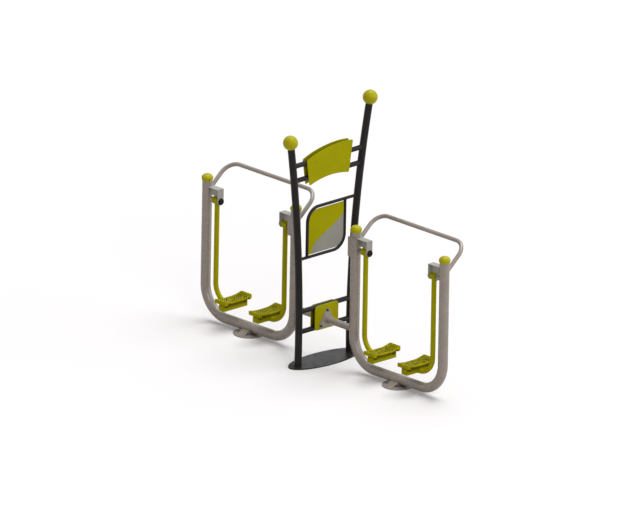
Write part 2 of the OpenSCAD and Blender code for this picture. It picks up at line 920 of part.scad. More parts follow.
// Domed cap over the top of a post, held by one screw
module post_caps() {
    socket_r = post_r + seat_gap;
    color(lime)
        at_all_posts_to_pylon()
            difference() {
                translate([0, 0, cap_seam_z])
                    rotate_extrude()
                        polygon([
                            [0, 0],
                            [cap_base_r, 0],
                            each dome_points(cap_shoulder_r, cap_skirt_h, cap_dome_h, cap_steps)
                        ]);
                translate([0, 0, cap_seam_z - cut])
                    cylinder(r = socket_r, h = cap_socket + cut + seat_gap);
                cap_screw_line(cap_screw_d / 2 + seat_gap, post_r - frame_wall, cap_shoulder_r + cut);
                cap_screw_line(cap_screw_head_d / 2 + seat_gap, cap_screw_seat, cap_shoulder_r + cut);
            }
}

module cap_screws() {
    seat = cap_screw_seat;
    color(black)
        at_all_posts_to_pylon() {
            cap_screw_line(cap_screw_d / 2, post_r - 2 * frame_wall, seat);
            at_cap_screw(seat)
                domed_head(cap_screw_head_d / 2, cap_screw_head_h);
        }
}

module base_disc(station) {
    color(grey)
        translate([station * station_x, 0, 0])
            cylinder(d = disc_d, h = disc_t);
}

// Two sloping plates that hold the frame tube above the disc
module saddle(station) {
    color(grey)
        difference() {
            for (side = [0, 1])
                mirror([0, side, 0])
                    translate([station * station_x - saddle_w / 2, 0, 0])
                        sheet_yz([[-saddle_foot_y, disc_t], [-saddle_foot_y + saddle_run, disc_t],
                            [-saddle_top_y + saddle_run, saddle_top_z], [-saddle_top_y, saddle_top_z]], saddle_w);
            translate([station * station_x - saddle_w, 0, frame_run_z])
                along_x(post_r + seat_gap, 2 * saddle_w);
        }
}

// Bare plate on the front of the post nearer the pylon
module instruction_plate(station) {
    color(grey)
        at_post(station, -station)
            translate([0, -post_r - seat_gap, notice_z])
                upright_xz()
                    linear_extrude(notice_t)
                        polygon(rounded_rectangle(notice_w, notice_h, notice_corner_r));
}

// Top plate, round-ended side plate that carries the axle, and a web in the middle between them
module pivot_housing(station, post) {
    top = axle_z + housing_rise;
    half = housing_d / 2;
    color(grey)
        at_post(station, post)
            difference() {
                union() {
                    translate([0, -half, top - housing_t])
                        cube([side_out, housing_d, housing_t]);
                    translate([0, -housing_t / 2, axle_z + housing_skirt])
                        cube([side_out, housing_t, housing_rise - housing_skirt]);
                    translate([side_in, -half, axle_z])
                        cube([side_t, housing_d, housing_rise]);
                    translate([side_in, 0, axle_z])
                        along_x(half, side_t);
                }
                translate([0, 0, axle_z - cut])
                    cylinder(r = post_r + seat_gap, h = housing_rise + 2 * cut);
                translate([side_in - cut, 0, axle_z])
                    along_x(axle_r + seat_gap, side_t + 2 * cut);
            }
}

// Boss that holds the outer end of an axle on the post
module axle_bosses() {
    color(grey)
        at_all_posts()
            difference() {
                translate([0, 0, axle_z])
                    along_x(boss_d / 2, boss_end);
                translate([0, 0, axle_z - boss_d])
                    cylinder(r = post_r + seat_gap, h = 2 * boss_d);
                translate([0, 0, axle_z])
                    along_x(axle_r + press_gap, boss_end + cut);
            }
}

// Axle with the collar and the washer that keep the bearings in place
module axle() {
    translate([0, 0, axle_z]) {
        translate([axle_start, 0, 0])
            along_x(axle_r, axle_end - axle_start);
        translate([boss_end + seat_gap, 0, 0])
            along_x(collar_r, bearing_first - boss_end - 2 * seat_gap);
        translate([bearing_last + bearing_w + seat_gap, 0, 0])
            along_x(collar_r, side_in - bearing_last - bearing_w - 2 * seat_gap);
    }
}

module axles(station) {
    color(steel)
        for (post = [left, right])
            at_post(station, post)
                axle();
}

module axle_nuts() {
    color(steel)
        at_all_posts()
            translate([side_out + press_gap, 0, axle_z])
                rotate([0, 90, 0])
                    difference() {
                        cylinder(d = nut_af / cos(30), h = nut_t, $fn = 6);
                        translate([0, 0, -cut])
                            cylinder(r = axle_r + press_gap, h = nut_t + 2 * cut);
                    }
}

// Cup over the axle nut, with a rounded end
module axle_end_caps() {
    r = end_cap_d / 2;
    inside_r = nut_af / 2 / cos(30) + seat_gap;
    color(black)
        at_all_posts()
            translate([side_out, 0, axle_z])
                rotate([0, 90, 0])
                    difference() {
                        rotate_extrude()
                            polygon([
                                [0, 0],
                                [r, 0],
                                each [for (i = [0:arc_steps]) let (q = 90 * i / arc_steps)
                                    [r - end_cap_round * (1 - cos(q)),
                                        end_cap_h - end_cap_round * (1 - sin(q))]],
                                [0, end_cap_h]
                            ]);
                        translate([0, 0, -cut])
                            cylinder(r = inside_r, h = end_cap_h - end_cap_wall + cut);
                    }
}

// Hub with a collar and bearing seats, and the tube that hangs from it and bends in to the carrier
module arm(station, post) {
    seat_r = bearing_d / 2 + press_gap;
    seat_depth = bearing_inset + bearing_w;
    color(lime)
        at_post(station, post)
            difference() {
                union() {
                    translate([hub_start, 0, axle_z])
                        along_x(hub_r, hub_len);
                    translate([hub_start, 0, axle_z])
                        along_x(hub_collar_d / 2, hub_collar_len);
                    upright_xz()
                        bent_tube([[arm_x, axle_z], [arm_x, arm_run_z], [arm_end, arm_run_z]],
                            arm_bend_r, arm_r, arm_wall);
                }
                translate([hub_start - cut, 0, axle_z])
                    along_x(hub_bore_d / 2, hub_len + 2 * cut);
                translate([hub_start - cut, 0, axle_z])
                    along_x(seat_r, seat_depth + cut);
                translate([hub_end - seat_depth, 0, axle_z])
                    along_x(seat_r, seat_depth + cut);
            }
}

// One ball bearing along +X: its rings stand a little proud of its shields
module bearing() {
    ring_t = (bearing_d - axle_d) * 0.15;
    shield_drop = bearing_w * 0.06;
    bore_r = axle_r + running_gap;
    rotate([0, 90, 0])
        rotate_extrude()
            polygon([
                [bore_r, 0],
                [bore_r + ring_t, 0],
                [bore_r + ring_t, shield_drop],
                [bearing_d / 2 - ring_t, shield_drop],
                [bearing_d / 2 - ring_t, 0],
                [bearing_d / 2, 0],
                [bearing_d / 2, bearing_w],
                [bearing_d / 2 - ring_t, bearing_w],
                [bearing_d / 2 - ring_t, bearing_w - shield_drop],
                [bore_r + ring_t, bearing_w - shield_drop],
                [bore_r + ring_t, bearing_w],
                [bore_r, bearing_w]
            ]);
}

module bearings(station, post) {
    color(steel)
        at_post(station, post)
            for (x = [bearing_first, bearing_last])
                translate([x, 0, axle_z])
                    bearing();
}

module pedal_bolt_places() {
    for (x = [-pedal_bolt_pitch_x, pedal_bolt_pitch_x] / 2)
        for (y = [-pedal_bolt_pitch_y, pedal_bolt_pitch_y] / 2)
            translate([pedal_x + x, pedal_lead + y, pedal_z])
                children();
}

// Folded tray, open below, that the foot plate is bolted down on
module carrier(station, post) {
    color(lime)
        at_post(station, post)
            difference() {
                translate([pedal_x - carrier_w / 2, pedal_lead - carrier_len / 2, pedal_z - carrier_h])
                    cube([carrier_w, carrier_len, carrier_h]);
                translate([pedal_x - carrier_w / 2 + carrier_t, pedal_lead - carrier_len / 2 + carrier_t,
                    pedal_z - carrier_h - cut])
                    cube([carrier_w - 2 * carrier_t, carrier_len - 2 * carrier_t,
                        carrier_h - carrier_t + cut]);
                pedal_bolt_places()
                    translate([0, 0, -carrier_t - cut])
                        cylinder(d = pedal_bolt_d + 2 * seat_gap, h = carrier_t + 2 * cut);
            }
}

// A layer of the foot plate inside an inset outline
module pedal_layer(low, low_share, high, high_share, inset) {
    corner = max(pedal_corner_r - inset, skin_t / 2);
    tall = pedal_h + heel_rise + toe_rise;
    intersection() {
        translate([-pedal_w / 2, 0, 0])
            sheet_yz(layer_points(low, low_share, high, high_share), pedal_w);
        translate([0, 0, -2 * cut])
            linear_extrude(tall + 4 * cut)
                polygon(rounded_rectangle(pedal_w - 2 * inset, pedal_len - 2 * inset, corner));
    }
}

// Cast foot plate: rim, sunk tread with studs, skirt, cross ribs and bolt bosses below
module pedal(station, post) {
    tread_z = pedal_h - tread_drop;
    color(lime)
        at_post(station, post)
            difference() {
                translate([pedal_x, pedal_lead, pedal_z])
                    union() {
                        difference() {
                            pedal_layer(0, belly_share, pedal_h, 1, 0);
                            pedal_layer(tread_z, 1, pedal_h + cut, 1, rim_w);
                            difference() {
                                pedal_layer(-cut, belly_share, tread_z - skin_t, 1, skin_t);
                                pedal_ribs();
                            }
                        }
                        intersection() {
                            pedal_layer(0, 0, skin_t, 1, skin_t);
                            pedal_ribs(carrier_w);
                        }
                        pedal_studs();
                    }
                pedal_bolt_places()
                    translate([0, 0, -cut])
                        cylinder(d = pedal_bolt_d + 2 * press_gap, h = pedal_bolt_grip + cut);
            }
}

// Ribs across a width, and bolt bosses, that fill part of the hollow under the tread or stand on the carrier
module pedal_ribs(width = pedal_w) {
    tall = pedal_h + heel_rise + toe_rise;
    for (i = [1:rib_count])
        translate([-width / 2, -pedal_len / 2 + i * rib_pitch - rib_t / 2, 0])
            cube([width, rib_t, tall]);
    for (x = [-pedal_bolt_pitch_x, pedal_bolt_pitch_x] / 2)
        for (y = [-pedal_bolt_pitch_y, pedal_bolt_pitch_y] / 2)
            translate([x, y, 0])
                cylinder(d = pedal_boss_d, h = tall);
}

module pedal_studs() {
    for (i = [0:stud_columns - 1])
        for (j = [0:stud_rows - 1]) {
            x = (i - (stud_columns - 1) / 2) * stud_pitch_x;
            y = (j - (stud_rows - 1) / 2) * stud_pitch_y;
            tread = pedal_h + rim_rise(y) - tread_drop;
            translate([x, y, tread - skin_t / 2])
                cylinder(d = stud_d, h = stud_h + skin_t / 2);
        }
}

module pedal_bolts(station, post) {
    color(steel)
        at_post(station, post)
            pedal_bolt_places() {
                translate([0, 0, -carrier_t])
                    cylinder(d = pedal_bolt_d, h = carrier_t + pedal_bolt_grip - seat_gap);
                translate([0, 0, -carrier_t - pedal_bolt_head_h])
                    cylinder(d = pedal_bolt_head_d, h = pedal_bolt_head_h, $fn = 6);
            }
}

base_plate();
pylon_post_front();
pylon_post_rear();
ball_caps();
sign_rails();
sign_plate_left();
sign_plate_right();
sign_bolts();
panel_frame_upper();
panel_frame_lower();
panel_lime();
panel_grey();
mount_rails();
mount_plate_left();
mount_plate_right();
link_arm_left();
link_arm_right();
link_bolts();
station_frame(left);  // station_frame_left
station_frame(right);  // station_frame_right
handlebar(left);  // handlebar_left
handlebar(right);  // handlebar_right
post_caps();
cap_screws();
base_disc(left);  // base_disc_left
base_disc(right);  // base_disc_right
saddle(left);  // saddle_left
saddle(right);  // saddle_right
instruction_plate(left);  // instruction_plate_left
instruction_plate(right);  // instruction_plate_right
pivot_housing(left, left);  // pivot_housing_left_outer
pivot_housing(left, right);  // pivot_housing_left_inner
pivot_housing(right, left);  // pivot_housing_right_inner
pivot_housing(right, right);  // pivot_housing_right_outer
axle_bosses();
axles(left);  // axles_left
axles(right);  // axles_right
axle_nuts();
axle_end_caps();
arm(left, left);  // arm_left_outer
arm(left, right);  // arm_left_inner
arm(right, left);  // arm_right_inner
arm(right, right);  // arm_right_outer
bearings(left, left);  // bearings_left_outer
bearings(left, right);  // bearings_left_inner
bearings(right, left);  // bearings_right_inner
bearings(right, right);  // bearings_right_outer
carrier(left, left);  // carrier_left_outer
carrier(left, right);  // carrier_left_inner
carrier(right, left);  // carrier_right_inner
carrier(right, right);  // carrier_right_outer
pedal(left, left);  // pedal_left_outer
pedal(left, right);  // pedal_left_inner
pedal(right, left);  // pedal_right_inner
pedal(right, right);  // pedal_right_outer
pedal_bolts(left, left);  // pedal_bolts_left_outer
pedal_bolts(left, right);  // pedal_bolts_left_inner
pedal_bolts(right, left);  // pedal_bolts_right_inner
pedal_bolts(right, right);  // pedal_bolts_right_outer
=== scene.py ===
# %% [markdown]
# # Outdoor air walker
# Two stations stand in a row, each a bent tube frame in which a pair of foot plates hangs from
# axles. A pylon between them carries a sign and a panel. The solids of the frame are loaded first
# and stay where they are. This lesson gives every solid its finish, puts rounded pieces in the
# place of sharp-edged ones, and adds the welds that hold the tubes together.

# %% Load the solids
import json
import math
from contextlib import contextmanager

import bpy
from mathutils import Matrix, Vector


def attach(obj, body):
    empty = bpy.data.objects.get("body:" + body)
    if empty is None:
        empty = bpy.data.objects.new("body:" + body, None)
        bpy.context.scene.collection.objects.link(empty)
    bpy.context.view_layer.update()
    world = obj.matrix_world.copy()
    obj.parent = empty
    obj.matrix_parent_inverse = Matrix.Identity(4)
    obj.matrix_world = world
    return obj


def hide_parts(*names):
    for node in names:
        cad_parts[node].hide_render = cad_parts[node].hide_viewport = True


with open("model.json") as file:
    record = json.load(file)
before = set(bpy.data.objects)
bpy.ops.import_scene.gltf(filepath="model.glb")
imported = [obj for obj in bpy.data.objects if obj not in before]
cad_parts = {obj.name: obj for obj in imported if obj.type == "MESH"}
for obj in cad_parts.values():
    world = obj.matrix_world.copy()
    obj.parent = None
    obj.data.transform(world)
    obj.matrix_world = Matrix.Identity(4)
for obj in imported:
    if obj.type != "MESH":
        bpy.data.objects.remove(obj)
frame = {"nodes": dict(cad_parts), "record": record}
nodes = frame["nodes"]
record = frame["record"]
body_of_node = {node: body for body, members in record["behaviour"]["bodies"].items()
                for node in members}
slot_of_node = {row["node"]: row["material_slot"] for row in record["subparts"]}
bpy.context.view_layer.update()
MM = 0.001

# %% [markdown]
# ## The camera
# In the photograph the near station is as large as the far one, and lines that are parallel on the
# real object stay parallel. A perspective camera shows that only from very far away, so an
# orthographic camera is used. It looks down a little from the front right, with a slight roll.

# %% Camera
PHOTO_WIDTH, PHOTO_HEIGHT = 640, 512
PIXELS_PER_METRE = 114.7
ORIGIN_PIXEL = (323.6, 359.4)
AZIMUTH = math.radians(45.7)
ELEVATION = math.radians(18.75)
ROLL = math.radians(1.0)
CAMERA_DISTANCE, VIEW_DEPTH = 12.0, 100

back = Vector((math.sin(AZIMUTH) * math.cos(ELEVATION),
               -math.cos(AZIMUTH) * math.cos(ELEVATION), math.sin(ELEVATION)))
level_right = Vector((math.cos(AZIMUTH), math.sin(AZIMUTH), 0))
level_up = back.cross(level_right)
image_right = level_right * math.cos(ROLL) + level_up * math.sin(ROLL)
image_up = level_up * math.cos(ROLL) - level_right * math.sin(ROLL)
middle_right = (PHOTO_WIDTH / 2 - ORIGIN_PIXEL[0]) / PIXELS_PER_METRE
middle_up = (ORIGIN_PIXEL[1] - PHOTO_HEIGHT / 2) / PIXELS_PER_METRE
target = image_right * middle_right + image_up * middle_up

camera_data = bpy.data.cameras.new("camera")
camera_data.type = "ORTHO"
camera_data.ortho_scale = PHOTO_WIDTH / PIXELS_PER_METRE
camera_data.clip_end = VIEW_DEPTH
camera = bpy.data.objects.new("camera", camera_data)
bpy.context.scene.collection.objects.link(camera)
axes = Matrix((image_right, image_up, back)).transposed()
camera.matrix_world = Matrix.Translation(target + back * CAMERA_DISTANCE) @ axes.to_4x4()
bpy.context.scene.camera = camera
bpy.context.scene.view_settings.view_transform = "Standard"
print("the view is", round(camera_data.ortho_scale, 3), "m wide")

# %% [markdown]
# ## Colours and nodes
# Colours are picked as sRGB hex values, the way paint charts give them, and the shader wants linear
# light, so one function converts them. Another adds a node to a material with its settings and its
# links in one line, which keeps each finish short enough to read. A Mix node has a set of sockets
# for every kind of data, and those for colours have the numbers that are named here.

# %% Helpers for materials
COLOUR_A, COLOUR_B, COLOUR_OUT = 6, 7, 2


def colour(code):
    """Linear RGBA of an sRGB hex colour."""
    channels = [int(code[i:i + 2], 16) / 255 for i in (1, 3, 5)]
    return [c / 12.92 if c <= 0.04045 else ((c + 0.055) / 1.055) ** 2.4 for c in channels] + [1.0]


def add(tree, kind, settings=None, links=None):
    """Adds a node; settings name inputs or properties, links name inputs and what they take, which
    is an output, or a node for its first output."""
    node = tree.nodes.new(kind)
    for name, value in (settings or {}).items():
        if isinstance(name, int) or name in node.inputs:
            node.inputs[name].default_value = value
        else:
            setattr(node, name, value)
    for name, source in (links or {}).items():
        output = source.outputs[0] if isinstance(source, bpy.types.Node) else source
        tree.links.new(output, node.inputs[name])
    return node


def new_material(name):
    """An empty material with its node tree, and Object coordinates in metres."""
    material = bpy.data.materials.new(name)
    material.use_nodes = True
    tree = material.node_tree
    tree.nodes.clear()
    place = add(tree, "ShaderNodeTexCoord").outputs["Object"]
    return material, tree, place


def blotches(tree, place, size_mm, detail, levels, values=(0.0, 1.0)):
    """Blotches about size_mm wide: one value where noise is low, another where it is high."""
    noise = add(tree, "ShaderNodeTexNoise", {"Scale": 1 / (size_mm * MM), "Detail": detail},
                {"Vector": place})
    settings = {"From Min": levels[0], "From Max": levels[1],
                "To Min": values[0], "To Max": values[1]}
    return add(tree, "ShaderNodeMapRange", settings, {"Value": noise})


def finish_surface(tree, tone, roughness, height, depth_mm, settings):
    """Ends a material: a shader with its colour, its roughness and a relief depth_mm deep."""
    relief = add(tree, "ShaderNodeBump", {"Distance": depth_mm * MM, "Strength": 1.0},
                 {"Height": height})
    links = {"Base Color": tone.outputs[COLOUR_OUT], "Roughness": roughness, "Normal": relief}
    shader = add(tree, "ShaderNodeBsdfPrincipled", settings, links)
    add(tree, "ShaderNodeOutputMaterial", {}, {"Surface": shader})


print("a mid grey of #808080 is", round(colour("#808080")[0], 3), "in linear light")

# %% [markdown]
# ## Powder coat
# The tubes and plates are steel, sprayed with dry polyester powder and baked. The powder flows into
# a satin skin with a fine orange peel, a few millimetres from crest to crest and only hundredths
# deep. Out of doors it chalks a little and holds dust, so the colour drifts in hand-sized patches
# and the roughness with it. The peel is drawn a little coarser than real, so that it shows. Where
# a plate overhangs, one coat is painted darker between two heights, as painted shade under the
# plate.

# %% Powder coats
PATCH_MM, DUST_MM, CHALK_MM = 160, 2.2, 70
PEEL_MM, PEEL_DEPTH_MM = 3.5, 0.05
# The dark olive next is painted shade, and its share is how far it darkens the coat at most.
PAINTED_SHADE, PAINTED_SHADE_SHARE = "#2A2300", 0.8
LIME_COAT = ("#9C9A00", "#A1A000")


def powder_coat(name, base, dusty, roughness=0.34, gloss=0.5, speck=0.3, grime_mm=None):
    """Satin powder coat on steel, with painted shade that deepens between two heights, if given."""
    material, tree, place = new_material(name)
    patches = blotches(tree, place, PATCH_MM, 3, (0.40, 0.66))
    tone = add(tree, "ShaderNodeMix",
               {"data_type": "RGBA", COLOUR_A: colour(base), COLOUR_B: colour(dusty)}, {0: patches})
    dust = blotches(tree, place, DUST_MM, 1, (0.60, 0.72), (0.0, speck))
    tone = add(tree, "ShaderNodeMix", {"data_type": "RGBA", COLOUR_B: colour(dusty)},
               {0: dust, COLOUR_A: tone.outputs[COLOUR_OUT]})
    # Painted shade: the coat turns darker upwards between the two heights, towards the plate above.
    if grime_mm:
        height = add(tree, "ShaderNodeSeparateXYZ", {}, {0: place}).outputs["Z"]
        settings = {"From Min": grime_mm[0] * MM, "From Max": grime_mm[1] * MM,
                    "To Max": PAINTED_SHADE_SHARE}
        painted_shade = add(tree, "ShaderNodeMapRange", settings, {"Value": height})
        tone = add(tree, "ShaderNodeMix", {"data_type": "RGBA", COLOUR_B: colour(PAINTED_SHADE)},
                   {0: painted_shade, COLOUR_A: tone.outputs[COLOUR_OUT]})
    chalk = blotches(tree, place, CHALK_MM, 2, (0.3, 0.7), (roughness - 0.06, roughness + 0.08))
    peel = add(tree, "ShaderNodeTexNoise", {"Scale": 1 / (PEEL_MM * MM), "Detail": 1},
               {"Vector": place})
    settings = {"IOR": 1.5, "Specular IOR Level": gloss}
    finish_surface(tree, tone, chalk, peel, PEEL_DEPTH_MM, settings)
    return material


finishes = {
    "grey_paint": powder_coat("powder_coat_warm_grey", "#8B837C", "#918A83", roughness=0.26,
                              gloss=0.7, speck=0.15),
    "housing_grey": powder_coat("powder_coat_neutral_grey", "#949591", "#9A9B97"),
    "lime_paint": powder_coat("powder_coat_lime", *LIME_COAT, roughness=0.38, gloss=0.04),
    "anthracite_paint": powder_coat("powder_coat_anthracite", "#1D1B1B", "#242221", gloss=0.14,
                                    speck=0.15),
    # The carriers' sides get this coat: painted shade under the foot plate, darker towards their
    # top.
    "carrier_side": powder_coat("powder_coat_lime_grimy", *LIME_COAT, roughness=0.42, gloss=0.04,
                                grime_mm=(196, 230)),
}
print(len(finishes), "powder coats")

# %% [markdown]
# ## Moulded and cut plastic
# The caps and balls are moulded nylon, glossy and slightly cloudy. The covers of axles and screws
# are the same in black. The panel is cut from solid-coloured polyethylene sheet, with the fine
# pebble grain that stops glare. A cloud of two close tones and a shallow grain give all of these.

# %% Plastics
CLOUD_MM, HANDLED_MM = 45, 18


def coloured_plastic(name, base, worn, roughness, gloss, grain_mm, grain_depth_mm):
    """Plastic coloured right through, with the grain of its mould or roller."""
    material, tree, place = new_material(name)
    cloud = blotches(tree, place, CLOUD_MM, 3, (0.35, 0.70))
    tone = add(tree, "ShaderNodeMix",
               {"data_type": "RGBA", COLOUR_A: colour(base), COLOUR_B: colour(worn)}, {0: cloud})
    handled = blotches(tree, place, HANDLED_MM, 2, (0.3, 0.7), (roughness - 0.05, roughness + 0.07))
    grain = add(tree, "ShaderNodeTexNoise", {"Scale": 1 / (grain_mm * MM), "Detail": 1},
                {"Vector": place})
    settings = {"IOR": 1.5, "Specular IOR Level": gloss}
    finish_surface(tree, tone, handled, grain, grain_depth_mm, settings)
    return material


for slot_name, *look in (
        ("lime_plastic", "moulded_nylon_lime", "#A29F00", "#A8A600", 0.24, 0.14, 2.5, 0.01),
        ("black_plastic", "moulded_nylon_black", "#060606", "#0B0B0B", 0.42, 0.12, 2.0, 0.03),
        ("panel_lime", "sheet_polyethylene_lime", "#9E9C00", "#A09F00", 0.50, 0.04, 1.6, 0.04),
        ("panel_grey", "sheet_polyethylene_grey", "#8D8D86", "#90908A", 0.50, 0.20, 1.6, 0.04)):
    finishes[slot_name] = coloured_plastic(*look)
    print(look[0], "is", look[1], "to", look[2])

# %% [markdown]
# ## Cast aluminium
# The foot plates are cast in sand and coated like the tubes, but the sand's grain still shows
# through the coat. Four castings are made of one: the plain one; the tread's floor, where grit
# packs down, whose dark spots are grit and also painted shade between the studs; the studs' tops,
# painted lighter as a highlight; and the step under the rim, painted dark as its shade. The grit's
# spots are drawn coarser than real, so that they show.

# %% Castings
SAND_MM, SAND_DEPTH_MM, SAND_DETAIL, SAND_HARSHNESS = 5.0, 0.12, 3, 0.6
STAIN_MM, STAIN_SHARE = 60, 0.22


def coated_casting(name, base, dark, grit_share, grit_mm=9.0):
    """Cast aluminium under powder coat: the mould's grain, with dark grit on a share of it."""
    material, tree, place = new_material(name)
    settings = {"Scale": 1 / (SAND_MM * MM), "Detail": SAND_DETAIL, "Roughness": SAND_HARSHNESS}
    sand = add(tree, "ShaderNodeTexNoise", settings, {"Vector": place})
    stains = blotches(tree, place, STAIN_MM, 2, (0.40, 0.70), (0.0, STAIN_SHARE))
    tone = add(tree, "ShaderNodeMix",
               {"data_type": "RGBA", COLOUR_A: colour(base), COLOUR_B: colour(dark)}, {0: stains})
    levels = (0.40 + grit_share * 0.2, 0.56 + grit_share * 0.2)
    grit = blotches(tree, place, grit_mm, 2, levels, (1.0, 0.0))
    grit = add(tree, "ShaderNodeMath", {"operation": "MULTIPLY", 1: min(grit_share * 2, 1.0)},
               {0: grit})
    tone = add(tree, "ShaderNodeMix", {"data_type": "RGBA", COLOUR_B: colour(dark)},
               {0: grit, COLOUR_A: tone.outputs[COLOUR_OUT]})
    settings = {"From Min": 0.3, "From Max": 0.7, "To Min": 0.46, "To Max": 0.34}
    rough = add(tree, "ShaderNodeMapRange", settings, {"Value": sand})
    settings = {"IOR": 1.5, "Specular IOR Level": 0.02}
    finish_surface(tree, tone, rough, sand, SAND_DEPTH_MM, settings)
    return material


finishes["lime_casting"] = coated_casting("cast_aluminium_lime", "#A9A500", "#605800", 0.1)
# The tread's dark grit is also painted shade between the studs, and the studs' tops are painted
# lighter as a highlight.
finishes["tread"] = coated_casting("cast_aluminium_tread", "#BAB604", "#383100", 0.5, grit_mm=8.0)
finishes["studs"] = coated_casting("cast_aluminium_studs", "#DEDA0A", "#A9A500", 0.0)
# This last casting is painted shade: dark for the step under the rim and the plates facing each
# other.
finishes["recess"] = coated_casting("cast_aluminium_grimy", "#6E6A00", PAINTED_SHADE, 0.2)
print(len(finishes), "finishes with the castings")

# %% [markdown]
# ## Zinc-plated steel
# Bearings, nuts and bolts are plated with zinc, whose crystals give small, uneven patches. They are
# a few tenths of a millimetre wide on the real thing and are drawn at 4 mm, so that they show. On
# the flanges' bolts the zinc has weathered to a dark grey.

# %% Zinc
CRYSTAL_MM, PITTING_MM, PITTING_DEPTH_MM = 4, 1.5, 0.02


def zinc_plate(name, bright, dull):
    """Zinc-plated steel: a metal whose crystals differ in tone and gloss."""
    material, tree, place = new_material(name)
    crystals = add(tree, "ShaderNodeTexVoronoi", {"Scale": 1 / (CRYSTAL_MM * MM)},
                   {"Vector": place})
    crystal = add(tree, "ShaderNodeSeparateColor", {}, {0: crystals.outputs["Color"]})
    tone = add(tree, "ShaderNodeMix",
               {"data_type": "RGBA", COLOUR_A: colour(bright), COLOUR_B: colour(dull)},
               {0: crystal})
    rough = add(tree, "ShaderNodeMapRange", {"To Min": 0.28, "To Max": 0.44}, {"Value": crystal})
    pitting = add(tree, "ShaderNodeTexNoise", {"Scale": 1 / (PITTING_MM * MM), "Detail": 1},
                  {"Vector": place})
    finish_surface(tree, tone, rough, pitting, PITTING_DEPTH_MM, {"Metallic": 1.0})
    return material


finishes["zinc_steel"] = zinc_plate("zinc_plated_steel", "#C9CBCC", "#9EA1A3")
finishes["zinc_weathered"] = zinc_plate("zinc_plated_steel_weathered", "#4E5052", "#2C2E30")
print(len(finishes), "finishes in all")

# %% [markdown]
# ## Every solid gets its finish
# The record names a slot for each solid, and a finish has the name of its slot. Only the flanges'
# bolts depart from it.


# %% Finishes on the solids
def give_finish(obj, slot_name):
    """Makes a slot's finish the only material of an object."""
    obj.data.materials.clear()
    obj.data.materials.append(finishes[slot_name])


for node, obj in nodes.items():
    give_finish(obj, slot_of_node[node])
give_finish(nodes["link_bolts"], "zinc_weathered")
print(len(nodes), "solids have their finish")

# %% [markdown]
# ## The studio
# The photograph has a white ground on which only a soft shadow shows. The floor here is matt, and
# part of what the camera sees of it is its own white, so that it meets the white world without an
# edge while shadows stay visible. The light that it throws back up is dimmer, as from paving, and
# from below it is clear.

# %% Floor
FLOOR_SIZE, FLOOR_DROP_MM = 60, 0.5
WHITE_SHARE = 0.12
FLOOR_SEEN = "#E6E6E8"
FLOOR_BOUNCE = "#C9C1B9"


def seen_rays(tree):
    """1 for rays that show the background: from the camera, in reflections or through glass."""
    path = add(tree, "ShaderNodeLightPath").outputs
    glossy = add(tree, "ShaderNodeMath", {"operation": "MAXIMUM"},
                 {0: path["Is Camera Ray"], 1: path["Is Glossy Ray"]})
    return add(tree, "ShaderNodeMath", {"operation": "MAXIMUM"},
               {0: glossy, 1: path["Is Transmission Ray"]})


bpy.ops.mesh.primitive_plane_add(size=FLOOR_SIZE, location=(0, 0, -FLOOR_DROP_MM * MM))
floor = bpy.context.object
floor.name = "floor"
material, tree, place = new_material("studio_floor")
seen = seen_rays(tree)
tone = add(tree, "ShaderNodeMix",
           {"data_type": "RGBA", COLOUR_A: colour(FLOOR_BOUNCE), COLOUR_B: colour(FLOOR_SEEN)},
           {0: seen})
matt = add(tree, "ShaderNodeBsdfDiffuse", {}, {"Color": tone.outputs[COLOUR_OUT]})
white = add(tree, "ShaderNodeEmission", {"Color": (1, 1, 1, 1), "Strength": 1.0})
share = add(tree, "ShaderNodeMath", {"operation": "MULTIPLY", 1: WHITE_SHARE}, {0: seen})
both = add(tree, "ShaderNodeMixShader", {}, {0: share, 1: matt, 2: white})
below = add(tree, "ShaderNodeNewGeometry").outputs["Backfacing"]
clear = add(tree, "ShaderNodeBsdfTransparent")
one_sided = add(tree, "ShaderNodeMixShader", {}, {0: below, 1: both, 2: clear})
add(tree, "ShaderNodeOutputMaterial", {}, {"Surface": one_sided})
floor.data.materials.append(material)
print("the floor is", FLOOR_SIZE, "m wide")

# %% [markdown]
# ## The light
# Lamps light the object only as strongly as its colours need: a wide key from above, two weak lamps
# from the right and a weak, warm world for the rest. What the camera and reflections see of the
# world is plain white.

# %% World and lamps
WORLD_LEVEL = 0.22
WORLD_TINT = "#FFEEE4"

world = bpy.data.worlds.new("studio_world")
bpy.context.scene.world = world
world.use_nodes = True
tree = world.node_tree
tree.nodes.clear()
seen = seen_rays(tree)
level = add(tree, "ShaderNodeMapRange", {"To Min": WORLD_LEVEL, "To Max": 1.0}, {"Value": seen})
tint = add(tree, "ShaderNodeMix",
           {"data_type": "RGBA", COLOUR_A: colour(WORLD_TINT), COLOUR_B: colour("#FFFFFF")},
           {0: seen})
sky = add(tree, "ShaderNodeBackground", {}, {"Color": tint.outputs[COLOUR_OUT], "Strength": level})
add(tree, "ShaderNodeOutputWorld", {}, {"Surface": sky})


def soft_sun(name, direction, angle, level):
    """A sun so wide that its shadows are soft; at level 1 it lights a white surface fully."""
    lamp = bpy.data.objects.new(name, bpy.data.lights.new(name, "SUN"))
    lamp.data.angle = math.radians(angle)
    lamp.data.energy = level * math.pi
    lamp.rotation_euler = Vector(direction).to_track_quat("Z", "Y").to_euler()
    bpy.context.scene.collection.objects.link(lamp)
    print(name, "is", angle, "degrees wide, at level", level)


soft_sun("key_light", (0.00, 0.26, 0.965), 50, 0.92)
soft_sun("side_light", (0.80, 0.52, 0.30), 44, 0.22)
soft_sun("front_light", (0.76, -0.42, 0.49), 32, 0.26)

